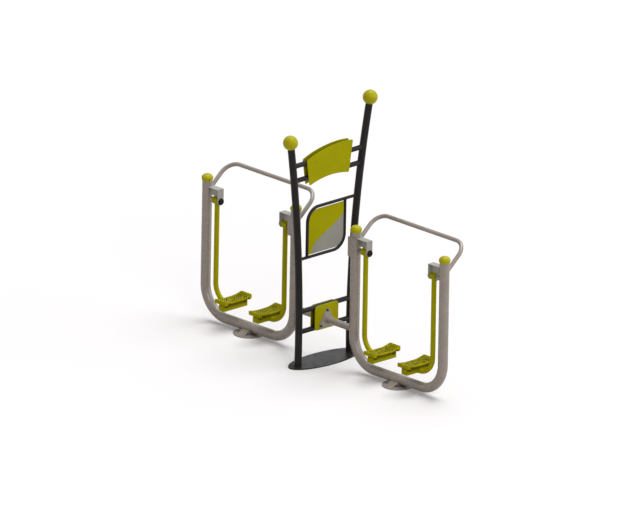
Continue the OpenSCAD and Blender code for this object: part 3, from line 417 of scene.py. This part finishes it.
# %% [markdown]
# ## Rounded edges
# No plate, channel or casting leaves the shop with a knife edge: laser-cut sheet is tumbled, folded
# sheet has a bend radius, and powder coat thickens on every edge. A copy of such a solid is cleaned
# of the loose triangles that it was stored as, its edges are bevelled, and it stands for the solid.

# %% Helpers for pieces
SMOOTH_ANGLE = math.radians(32)


def select_only(obj):
    """Deselects all and makes one object the active, selected one."""
    bpy.ops.object.select_all(action="DESELECT")
    obj.select_set(True)
    bpy.context.view_layer.objects.active = obj


@contextmanager
def edit_mode(piece):
    """Edit mode on a piece with its whole mesh selected."""
    select_only(piece)
    bpy.ops.object.mode_set(mode="EDIT")
    bpy.ops.mesh.select_all(action="SELECT")
    yield
    bpy.ops.object.mode_set(mode="OBJECT")


def even_shading(piece):
    """Smooths a piece where it bends gently, and keeps its large faces flat to the eye."""
    bpy.ops.object.shade_smooth_by_angle(angle=SMOOTH_ANGLE)
    even = piece.modifiers.new("even", "WEIGHTED_NORMAL")
    even.keep_sharp = True
    bpy.ops.object.modifier_apply(modifier=even.name)


def mount_piece(piece, body, slot_name):
    """Gives a finished piece its body and the finish that a slot names."""
    give_finish(piece, slot_name)
    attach(piece, body)
    return piece


print("edges sharper than", round(math.degrees(SMOOTH_ANGLE)), "degrees stay sharp")

# %% Rounded pieces
ROUNDED_MM = {
    "base_plate": 1.5, "base_disc": 1.5, "saddle": 1.0, "sign_plate": 1.0, "mount_plate": 2.0,
    "panel_lime": 0.8, "panel_grey": 0.8, "instruction_plate": 0.8, "pivot_housing": 1.2,
    "arm": 1.2, "carrier": 1.5, "link_arm": 1.5, "pedal_bolts": 0.7, "pedal_": 1.0,
    "post_caps": 1.2, "ball_caps": 1.2,
}
EDGE_SEGMENTS = 2
MERGE_MM = 0.002
FLAT_ANGLE = math.radians(0.5)


def rounded(node, width_mm):
    """Stands a copy with rounded edges in the place of a solid."""
    piece = bpy.data.objects.new(node + "_rounded", nodes[node].data.copy())
    bpy.context.scene.collection.objects.link(piece)
    with edit_mode(piece):
        bpy.ops.mesh.remove_doubles(threshold=MERGE_MM * MM)
        bpy.ops.mesh.dissolve_limited(angle_limit=FLAT_ANGLE)
    bevel = piece.modifiers.new("edges", "BEVEL")
    bevel.width = width_mm * MM
    bevel.segments = EDGE_SEGMENTS
    bevel.limit_method = "ANGLE"
    bevel.angle_limit = SMOOTH_ANGLE
    bpy.ops.object.modifier_apply(modifier=bevel.name)
    even_shading(piece)
    mount_piece(piece, body_of_node[node], slot_of_node[node])
    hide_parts(node)
    return piece


rounded_pieces = []
for node in sorted(nodes):
    for start, width_mm in ROUNDED_MM.items():
        if node.startswith(start):
            rounded_pieces.append(rounded(node, width_mm))
            break
print(len(rounded_pieces), "rounded pieces")

# %% [markdown]
# ## Where the posts stand
# The next pieces sit on solids whose places follow from a few sizes, in millimetres, which are the
# sizes that the frame was built from. Each step gives the ones it needs, and these are shared.

# %% Shared places
STATION_X, HALF_SPACING, POST_R = 934, 556, 44.45
SIDES = {"left": -1, "right": 1}
POSTS = [(f"{side}_{place}", sign * STATION_X + sign * out * HALF_SPACING, -sign * out)
         for side, sign in SIDES.items() for place, out in (("outer", 1), ("inner", -1))]


def middle_of(piece):
    """Middle of a piece across the row, in millimetres."""
    return sum(corner[0] for corner in piece.bound_box) / 8 / MM


for name, post_x, inboard in POSTS:
    print(name, "post at", round(post_x), "mm, inboard is", inboard)

# %% [markdown]
# ## The webs over the hubs
# The web of a pivot housing reaches down close to the hub, so that little light shows between
# them, but stays off the hub's collar, which lies next to the post. So its lower edge slopes. The
# points of that edge are found by their place and moved down.

# %% Webs
HOUSING_T, HOUSING_WEB_Z, SIDE_INBOARD = 5, 1153, 163.95
WEB_REACH_POST, WEB_REACH_SIDE = 1.0, 6.0
EDGE_SLACK, EDGE_ROUND = 0.5, 2

for name, post_x, inboard in POSTS:
    piece = next(piece for piece in rounded_pieces
                 if piece.name.startswith("pivot_housing_" + name))
    moved = 0
    for vertex in piece.data.vertices:
        x, y, z = vertex.co / MM
        if abs(y) < HOUSING_T / 2 + EDGE_SLACK and -EDGE_SLACK < z - HOUSING_WEB_Z < EDGE_ROUND:
            share = ((x - post_x) * inboard - POST_R) / (SIDE_INBOARD - POST_R)
            vertex.co.z -= (WEB_REACH_POST + share * (WEB_REACH_SIDE - WEB_REACH_POST)) * MM
            moved += 1
    print(piece.name, "has", moved, "points of its web moved down")

# %% [markdown]
# ## The rise of a foot plate
# A foot plate's tread is level in the middle and rises in a curve towards the heel, and in a longer
# one towards the toe. The next steps find faces and lay bars along these curves, so a function
# gives the height of the tread's floor at any place along the plate.

# %% Foot plates
# The underside is PEDAL_Z up, and the plate's middle lies PEDAL_LEAD towards the toe.
PEDAL_LEN, PEDAL_W, PEDAL_Z, TREAD_H, PEDAL_LEAD = 326, 137, 232, 28, 6
HEEL_SHARE, HEEL_RISE, HEEL_POWER = 0.16, 17, 1.6
TOE_SHARE, TOE_RISE, TOE_POWER = 0.34, 22, 1.5


def tread_height(y):
    """Height of the tread's floor at a place along a foot plate, in millimetres."""
    share = (y - PEDAL_LEAD) / PEDAL_LEN
    rise = 0
    if share < -HEEL_SHARE:
        rise = HEEL_RISE * min((-HEEL_SHARE - share) / (0.5 - HEEL_SHARE), 1) ** HEEL_POWER
    elif share > 0.5 - TOE_SHARE:
        rise = TOE_RISE * min((share - 0.5 + TOE_SHARE) / TOE_SHARE, 1) ** TOE_POWER
    return PEDAL_Z + TREAD_H + rise


foot_plates = [piece for piece in rounded_pieces
               if piece.name.startswith("pedal_") and not piece.name.startswith("pedal_bolts")]
for share in (-0.5, 0, 0.5):
    height = tread_height(PEDAL_LEAD + share * PEDAL_LEN)
    print("at", share, "of its length the tread is", height, "mm up")

# %% [markdown]
# ## The stepped sides of the foot plates
# From the side a foot plate shows a thin rim that stands out over a recessed casting, and the rim's
# shadow on the step below is what makes it look thin. Inside, the casting is hollow. So a bar is
# first joined on behind each long side, and a second bar, a wall's thickness smaller, is cut away
# from outside, up to the underside of the rim. Both follow the rise of the heel and the toe.

# %% Helpers for the steps
BAR_PARTS = 30


def side_bar(x_inner, x_outer, half_length, bottom, top):
    """A bar along a foot plate between two heights, which are functions of the place along it."""
    bpy.ops.object.select_all(action="DESELECT")
    bpy.ops.mesh.primitive_grid_add(x_subdivisions=1, y_subdivisions=BAR_PARTS, size=1)
    bar = bpy.context.object
    with edit_mode(bar):
        bpy.ops.mesh.extrude_region_move(TRANSFORM_OT_translate={"value": (0, 0, 1)})
    for vertex in bar.data.vertices:
        x = x_inner + (vertex.co.x + 0.5) * (x_outer - x_inner)
        y = PEDAL_LEAD + vertex.co.y * 2 * half_length
        vertex.co = Vector((x, y, top(y) if vertex.co.z > 0.5 else bottom(y))) * MM
    with edit_mode(bar):
        bpy.ops.mesh.normals_make_consistent(inside=False)
    return bar


def combine(piece, other, operation):
    """Joins another shape to a piece or cuts it away, and removes the other."""
    select_only(piece)
    modifier = piece.modifiers.new("shape", "BOOLEAN")
    modifier.operation = operation
    modifier.object = other
    bpy.ops.object.modifier_apply(modifier=modifier.name)
    bpy.data.objects.remove(other)


# %% Stepped sides
# The rim rises RIM_H over the tread, its lip is LIP_T thick, and the step stops STEP_END from the
# plate's ends. The underside rises by a share of what the tread rises.
RIM_H, LIP_T, STEP_DEPTH, STEP_END, STEP_WALL = 5, 12, 18, 34, 4
BELLY_SHARE, BELLY_LIFT = 0.9, 0.5
# How far the bar behind stays inside the skin and the tread, and the cut reaches past the plate.
SKIN_DEPTH, TREAD_SINK, CUT_PAST = 2.5, 3, 2.5


def belly_height(y):
    """Height of the underside of a foot plate's skirt, just inside the skirt."""
    return PEDAL_Z + BELLY_SHARE * (tread_height(y) - PEDAL_Z - TREAD_H) + BELLY_LIFT


def under_tread(y):
    """Height just under the tread's floor, where the bar behind a side ends."""
    return tread_height(y) - TREAD_SINK


def under_rim(y):
    """Height of the underside of the rim."""
    return tread_height(y) + RIM_H - LIP_T


for piece in foot_plates:
    select_only(piece)
    bpy.ops.mesh.customdata_custom_splitnormals_clear()
    edge, half = PEDAL_W / 2, PEDAL_LEN / 2 - STEP_END
    for side in (-1, 1):
        middle_x = middle_of(piece)
        back = side_bar(middle_x + side * (edge - STEP_DEPTH - STEP_WALL),
                        middle_x + side * (edge - SKIN_DEPTH), half + STEP_WALL,
                        belly_height, under_tread)
        combine(piece, back, "UNION")
        step = side_bar(middle_x + side * (edge - STEP_DEPTH), middle_x + side * (edge + CUT_PAST),
                        half, lambda y: PEDAL_Z - CUT_PAST, under_rim)
        combine(piece, step, "DIFFERENCE")
    with edit_mode(piece):
        bpy.ops.mesh.remove_doubles(threshold=MERGE_MM * MM)
    even_shading(piece)
    print(piece.name, "has", len(piece.data.polygons), "faces with its stepped sides")

# %% [markdown]
# ## The treads
# A foot plate is cast with a sunk tread between its rims. Grit and rubber from shoes pack down
# between the studs there. So the faces of the tread's floor get a gritty casting finish, whose dark
# spots are also painted shade between the studs, and the tops of the studs a lighter one, a painted
# highlight. They are found by their height, which follows the rise of the heel and the toe. The
# step under the rim gets a dark one, painted shade under the rim.

# %% Treads
# A face looks up if its normal's height is over FACES_UP.
TREAD_W, TREAD_LEN, STUD_H = 123, 312, 4
FACES_UP, MARGIN = 0.7, 1

for piece in foot_plates:
    for slot_name in ("tread", "studs", "recess"):
        piece.data.materials.append(finishes[slot_name])
    middle_x = middle_of(piece)
    counts = [0, 0, 0, 0]
    for face in piece.data.polygons:
        x, y, z = face.center / MM
        across, along = abs(x - middle_x), abs(y - PEDAL_LEAD)
        on_tread = across < TREAD_W / 2 - STUD_H and along < TREAD_LEN / 2 - STUD_H
        in_step = (MARGIN < PEDAL_W / 2 - across < STEP_DEPTH + MARGIN
                   and along < PEDAL_LEN / 2 - STEP_END + MARGIN and z < under_rim(y) + MARGIN / 2)
        # Up-facing faces: the tread's floor, with grit and painted shade, and the studs' lighter
        # tops, a painted highlight.
        if face.normal.z > FACES_UP and on_tread:
            face.material_index = 1 if z < tread_height(y) + STUD_H / 2 else 2
        # Faces of the step under the rim get painted shade.
        elif in_step:
            face.material_index = 3
        counts[face.material_index] += 1
    print(piece.name, "has plain, gritty, bright and shadowed faces:", counts)

# %% [markdown]
# ## Shade painted on sides
# The foot plate overhangs the sides of the channel that carries it, and the two plates on the
# pylon's lower rails face each other's inward faces. These faces get finishes painted dark, as the
# shade that falls on them. Such faces are found by the way they point. Rain doesn't wash these, so
# they get the
# grimy finishes. Such faces are found by the way they point.

# %% Painted shade
FACES_OUT = 0.9


def finish_faces(piece, slot_name, chosen):
    """Gives a second finish to the faces of a piece that a test picks by their normal."""
    piece.data.materials.append(finishes[slot_name])
    for face in piece.data.polygons:
        face.material_index = 1 if chosen(face.normal) else 0
    shaded = sum(face.material_index for face in piece.data.polygons)
    print(piece.name, "has", shaded, "grimy faces")


carriers = [piece for piece in rounded_pieces if piece.name.startswith("carrier_")]
# The carriers' sides and the mount plates' inward faces are painted darker, as the shade on them.
for piece in carriers:
    finish_faces(piece, "carrier_side", lambda normal: abs(normal.x) > FACES_OUT)
# The mount plates' inward faces get the dark casting finish: painted shade between the two plates.
for piece in rounded_pieces:
    if piece.name.startswith("mount_plate"):
        outward = 1 if middle_of(piece) > 0 else -1
        finish_faces(piece, "recess", lambda normal: normal.x * outward < -FACES_OUT)

# %% [markdown]
# ## Screw covers
# Two screws go through each side of a carrier, near its ends, and a black push-on cover keeps the
# rain out of each. A cover is a short disc with a well-rounded outer edge. One is modelled, copied
# to the four places of a carrier and joined, so that each carrier's covers are one piece.

# %% A cover
COVER_R, COVER_T, COVER_SIDES = 8, 5, 24
ROUND_SHARE, ROUND_SEGMENTS = 0.5, 4

bpy.ops.object.select_all(action="DESELECT")
bpy.ops.mesh.primitive_cylinder_add(vertices=COVER_SIDES, radius=COVER_R * MM, depth=COVER_T * MM)
cover = bpy.context.object
for vertex in cover.data.vertices:
    vertex.select = vertex.co.z > 0
for part in (*cover.data.edges, *cover.data.polygons):
    part.select = all(cover.data.vertices[i].select for i in part.vertices)
bpy.ops.object.mode_set(mode="EDIT")
bpy.ops.mesh.bevel(offset=COVER_T * ROUND_SHARE * MM, segments=ROUND_SEGMENTS, affect="EDGES")
bpy.ops.object.mode_set(mode="OBJECT")
print("one cover has", len(cover.data.polygons), "faces")

# %% Covers on the carriers
COVER_Y, COVER_Z, CARRIER_W = 107, 220, 68

for carrier in carriers:
    name = carrier.name.replace("carrier_", "").replace("_rounded", "")
    copies = []
    for side in (-1, 1):
        for end in (-1, 1):
            copy = bpy.data.objects.new("cover", cover.data.copy())
            bpy.context.scene.collection.objects.link(copy)
            place = Vector((middle_of(carrier) + side * (CARRIER_W + COVER_T) / 2,
                            PEDAL_LEAD + end * COVER_Y, COVER_Z))
            turn = Matrix.Rotation(side * math.pi / 2, 4, "Y")
            copy.data.transform(Matrix.Translation(place * MM) @ turn)
            copies.append(copy)
    piece = copies[0]
    select_only(piece)
    for copy in copies:
        copy.select_set(True)
    bpy.ops.object.join()
    piece.name = piece.data.name = "screw_covers_" + name
    bpy.ops.object.shade_smooth_by_angle(angle=SMOOTH_ANGLE)
    mount_piece(piece, "stride_" + name, "black_plastic")
    print(piece.name, "has", len(piece.data.polygons), "faces")
bpy.data.objects.remove(cover)

# %% [markdown]
# ## Weld beads
# Tubes are joined by a bead of weld all round the foot of the thinner one. Seen close, a bead is a
# rope of small overlapping puddles. Each is a torus with a rippled section, whose ring is slid
# along the thin tube until it lies on the surface that the tube meets, be it a plate or another
# tube, so that it follows the saddle line there.

# %% Helpers for beads
PUDDLE_MM, POINTS_PER_PUDDLE, RIPPLE, BEAD_SIDES = 3.2, 4, 0.20, 8


def on_plane(normal, point):
    """How far along a direction a line from a start meets a plane."""
    return lambda start, along: (point - start).dot(normal) / along.dot(normal)


def on_tube(axis_point, axis, radius):
    """How far along a direction a line from a start leaves a tube."""
    def reach(start, along):
        offset = start - axis_point
        offset -= axis * offset.dot(axis)
        cross = along - axis * along.dot(axis)
        a, b, c = cross.dot(cross), offset.dot(cross), offset.dot(offset) - radius * radius
        return (-b + math.sqrt(max(b * b - a * c, 0))) / a
    return reach


def fullness(phase):
    """How full a bead is: whole on a puddle, thinner between two, where the phase is 0 or pi."""
    return 1 - RIPPLE + RIPPLE * abs(math.sin(phase))


def weld_bead(name, body, slot_name, start, along, tube_r, reach, bead_r=3.4):
    """Rippled ring round a tube that starts at a point and runs along a direction, in mm."""
    start, along = Vector(start), Vector(along).normalized()
    puddles = round(2 * math.pi * tube_r / PUDDLE_MM)
    bpy.ops.object.select_all(action="DESELECT")
    bpy.ops.mesh.primitive_torus_add(major_radius=tube_r, minor_radius=bead_r,
                                     major_segments=POINTS_PER_PUDDLE * puddles,
                                     minor_segments=BEAD_SIDES)
    piece = bpy.context.object
    piece.name = piece.data.name = "weld_" + name
    turn = along.to_track_quat("Z", "Y")
    for vertex in piece.data.vertices:
        angle = math.atan2(vertex.co.y, vertex.co.x)
        out = math.hypot(vertex.co.x, vertex.co.y) - tube_r
        radial = turn @ Vector((math.cos(angle), math.sin(angle), 0))
        foot = start + radial * tube_r
        foot += along * reach(foot, along)
        section = (radial * out + along * vertex.co.z) * fullness(angle * puddles / 2)
        vertex.co = (foot + section) * MM
    bpy.ops.object.shade_smooth()
    return mount_piece(piece, body, slot_name)


print("a puddle is", PUDDLE_MM, "mm long")

# %% [markdown]
# ## Weld seams
# Where a plate meets another plate or a post, the bead runs along a line and thins out at its ends.
# It is a flat grid that is rolled up into a rope round the line, and its long edges are merged.

# %% A helper for seams
FEWEST_PUDDLES, SEAM_MERGE_MM = 3, 0.01


def weld_seam(name, body, slot_name, points, bead_r):
    """Rippled rope along a row of points, in millimetres, thin at both ends."""
    points = [Vector(point) for point in points]
    lengths = [(b - a).length for a, b in zip(points, points[1:])]
    total = sum(lengths)
    puddles = max(round(total / PUDDLE_MM), FEWEST_PUDDLES)
    bpy.ops.object.select_all(action="DESELECT")
    bpy.ops.mesh.primitive_grid_add(x_subdivisions=POINTS_PER_PUDDLE * puddles,
                                    y_subdivisions=BEAD_SIDES, size=2)
    piece = bpy.context.object
    piece.name = piece.data.name = "weld_" + name
    for vertex in piece.data.vertices:
        travelled = (vertex.co.x + 1) / 2 * total
        angle = math.pi * (vertex.co.y + 1)
        index, rest = 0, travelled
        while index < len(lengths) - 1 and rest > lengths[index]:
            rest -= lengths[index]
            index += 1
        along = (points[index + 1] - points[index]).normalized()
        side = along.orthogonal().normalized()
        thin = math.sqrt(max(min(travelled, total - travelled, bead_r) / bead_r, 0))
        radius = bead_r * thin * fullness(math.pi * puddles * travelled / total)
        around = side * math.cos(angle) + along.cross(side) * math.sin(angle)
        vertex.co = (points[index] + along * rest + around * radius) * MM
    with edit_mode(piece):
        bpy.ops.mesh.remove_doubles(threshold=SEAM_MERGE_MM * MM)
        bpy.ops.mesh.normals_make_consistent(inside=False)
    bpy.ops.object.shade_smooth()
    return mount_piece(piece, body, slot_name)


UP, ALONG_X, ALONG_Y = Vector((0, 0, 1)), Vector((1, 0, 0)), Vector((0, 1, 0))
welds = []

# %% [markdown]
# ## Welds of the pivots
# On each post of a station the handlebar and the axle's boss are welded on, and the housing's top
# plate and web, whose beads lie in the corners between the plates. Each hanging arm is welded to
# its hub above and to the carrier of its foot plate below.

# %% Welds on the posts and arms
BAR_R, BAR_Z, BAR_Y, BAR_SLOPE = 19, 1386, 264, math.radians(41)
AXLE_Z, BOSS_R, HUB_R, ARM_R = 1115, 21, 30.15, 22.25
ARM_INBOARD, ARM_END_INBOARD, ARM_RUN_Z = 127.99, 308.99, 202.88
HOUSING_HALF, HOUSING_TOP_Z = 35, 1227
CURVE_PARTS = 12
FOLD_BEAD, THIN_BEAD = 2.2, 2.6

half_turn = math.asin(HOUSING_HALF / POST_R)
turns = [half_turn * (2 * i / CURVE_PARTS - 1) for i in range(CURVE_PARTS + 1)]
under = HOUSING_TOP_Z - HOUSING_T
for name, post_x, inboard in POSTS:
    post = on_tube(Vector((post_x, 0, 0)), UP, POST_R)
    bar_root = (post_x, 0, BAR_Z - BAR_Y * math.tan(BAR_SLOPE))
    bar_along = (0, math.cos(BAR_SLOPE), math.sin(BAR_SLOPE))
    welds.append(weld_bead("handlebar_" + name, "frame", "grey_paint", bar_root, bar_along, BAR_R,
                           post))
    welds.append(weld_bead("axle_boss_" + name, "frame", "grey_paint", (post_x, 0, AXLE_Z),
                           (inboard, 0, 0), BOSS_R, post))
    post_face, side_face = post_x + inboard * POST_R, post_x + inboard * SIDE_INBOARD
    seams = {"top": [(post_x + inboard * POST_R * math.cos(turn), POST_R * math.sin(turn),
                      HOUSING_TOP_Z) for turn in turns]}
    for side, y in (("front", -HOUSING_T / 2), ("rear", HOUSING_T / 2)):
        seams["web_post_" + side] = [(post_face, y, HOUSING_WEB_Z - WEB_REACH_POST),
                                     (post_face, y, under)]
        seams["web_side_" + side] = [(side_face, y, HOUSING_WEB_Z - WEB_REACH_SIDE),
                                     (side_face, y, under)]
        seams["web_top_" + side] = [(post_face, y, under), (side_face, y, under)]
    for seam, points in seams.items():
        welds.append(weld_seam(f"{seam}_{name}", "frame", "housing_grey", points, FOLD_BEAD))
    arm_x = post_x + inboard * ARM_INBOARD
    hub = on_tube(Vector((arm_x, 0, AXLE_Z)), ALONG_X, HUB_R)
    welds.append(weld_bead("hub_" + name, "stride_" + name, "lime_paint", (arm_x, 0, AXLE_Z), -UP,
                           ARM_R, hub))
    carrier_face = on_plane(ALONG_X, Vector((post_x + inboard * ARM_END_INBOARD, 0, 0)))
    welds.append(weld_bead("carrier_" + name, "stride_" + name, "lime_paint", (arm_x, 0, ARM_RUN_Z),
                           (inboard, 0, 0), ARM_R, carrier_face, THIN_BEAD))
print(len(welds), "welds on the posts and arms")

# %% [markdown]
# ## Welds of the feet and links
# Under each station a folded saddle joins the lower run of the tube to the disc on the ground. Half
# way up, a short tube links each inner post to the flange on the pylon.

# %% Welds on the feet and links
SADDLE_HALF, SADDLE_FOOT_Y, SADDLE_TOP_Y, SADDLE_TOP_Z, DISC_T = 44, 105, 41.9, 47.2, 10
LINK_R, LINK_Z, FLANGE_FACE = 30.15, 377, 38.55
SADDLE_BEAD = 2.4
ENDS = ((-1, "front"), (1, "rear"))

for side, sign in SIDES.items():
    for end, end_name in ENDS:
        for place, y, z in (("disc", SADDLE_FOOT_Y, DISC_T), ("run", SADDLE_TOP_Y, SADDLE_TOP_Z)):
            points = [(sign * STATION_X + x, end * y, z) for x in (-SADDLE_HALF, SADDLE_HALF)]
            welds.append(weld_seam(f"saddle_{place}_{side}_{end_name}", "frame", "grey_paint",
                                   points, SADDLE_BEAD))
    inner_x = sign * (STATION_X - HALF_SPACING)
    post = on_tube(Vector((inner_x, 0, 0)), UP, POST_R)
    welds.append(weld_bead("link_post_" + side, "frame", "grey_paint", (inner_x, 0, LINK_Z),
                           (-sign, 0, 0), LINK_R, post))
    flange = on_plane(ALONG_X, Vector((sign * FLANGE_FACE, 0, 0)))
    welds.append(weld_bead("link_flange_" + side, "frame", "grey_paint", (0, 0, LINK_Z),
                           (sign, 0, 0), LINK_R, flange))
print(len(welds), "welds with those on the feet and links")

# %% [markdown]
# ## Welds of the pylon
# Each pylon post is one long arc that leans in at its foot and out at its ball, so a function gives
# its place and direction at any height. The rails and the panel's frame are welded to the posts,
# and the two halves of that frame to each other.

# %% Welds on the pylon
PYLON_R, RAIL_R, PANEL_R = 32.5, 22.25, 14
PLATE_T, FOOT_Y, FOOT_LEAN = 10, 312, math.radians(1.4)
LEAN_RISE = {-1: (137, 2083), 1: (200, 2292)}
RAIL_HEIGHTS = (1864, 1726, 504, 317)
PANEL_TOP_Z, PANEL_BOTTOM_Z, PANEL_HALF = 1434, 988, 226
FOOT_BEAD = 4.0


def pylon_axis(height, end):
    """Place and direction, in the YZ plane, of a pylon post's axis; end is -1 for the front."""
    lean, rise = LEAN_RISE[end]
    radius = math.hypot(lean, rise) / (2 * math.sin(math.atan2(lean, rise) + FOOT_LEAN))
    angle = math.asin((height - PLATE_T - radius * math.sin(FOOT_LEAN)) / radius)
    y = FOOT_Y + radius * (math.cos(FOOT_LEAN) - math.cos(angle))
    return Vector((0, end * y, height)), Vector((0, end * math.sin(angle), math.cos(angle)))


for end, end_name in ENDS:
    foot, lean = pylon_axis(PLATE_T, end)
    welds.append(weld_bead("post_foot_" + end_name, "frame", "anthracite_paint", foot, lean,
                           PYLON_R, on_plane(UP, foot), FOOT_BEAD))
    for height in RAIL_HEIGHTS:
        place, lean = pylon_axis(height, end)
        welds.append(weld_bead(f"rail_{height}_{end_name}", "frame", "anthracite_paint", place,
                               (0, -end, 0), RAIL_R, on_tube(place, lean, PYLON_R)))
for end, height in ((1, PANEL_TOP_Z), (-1, PANEL_BOTTOM_Z)):
    place, lean = pylon_axis(height, end)
    welds.append(weld_bead(f"panel_post_{height}", "frame", "anthracite_paint", place, (0, -end, 0),
                           PANEL_R, on_tube(place, lean, PYLON_R), THIN_BEAD))
    crossing = Vector((0, end * PANEL_HALF, height))
    welds.append(weld_bead(f"panel_corner_{height}", "frame", "anthracite_paint", crossing,
                           (0, 0, -end), PANEL_R, on_tube(crossing, ALONG_Y, PANEL_R), THIN_BEAD))
print(len(welds), "welds in all")
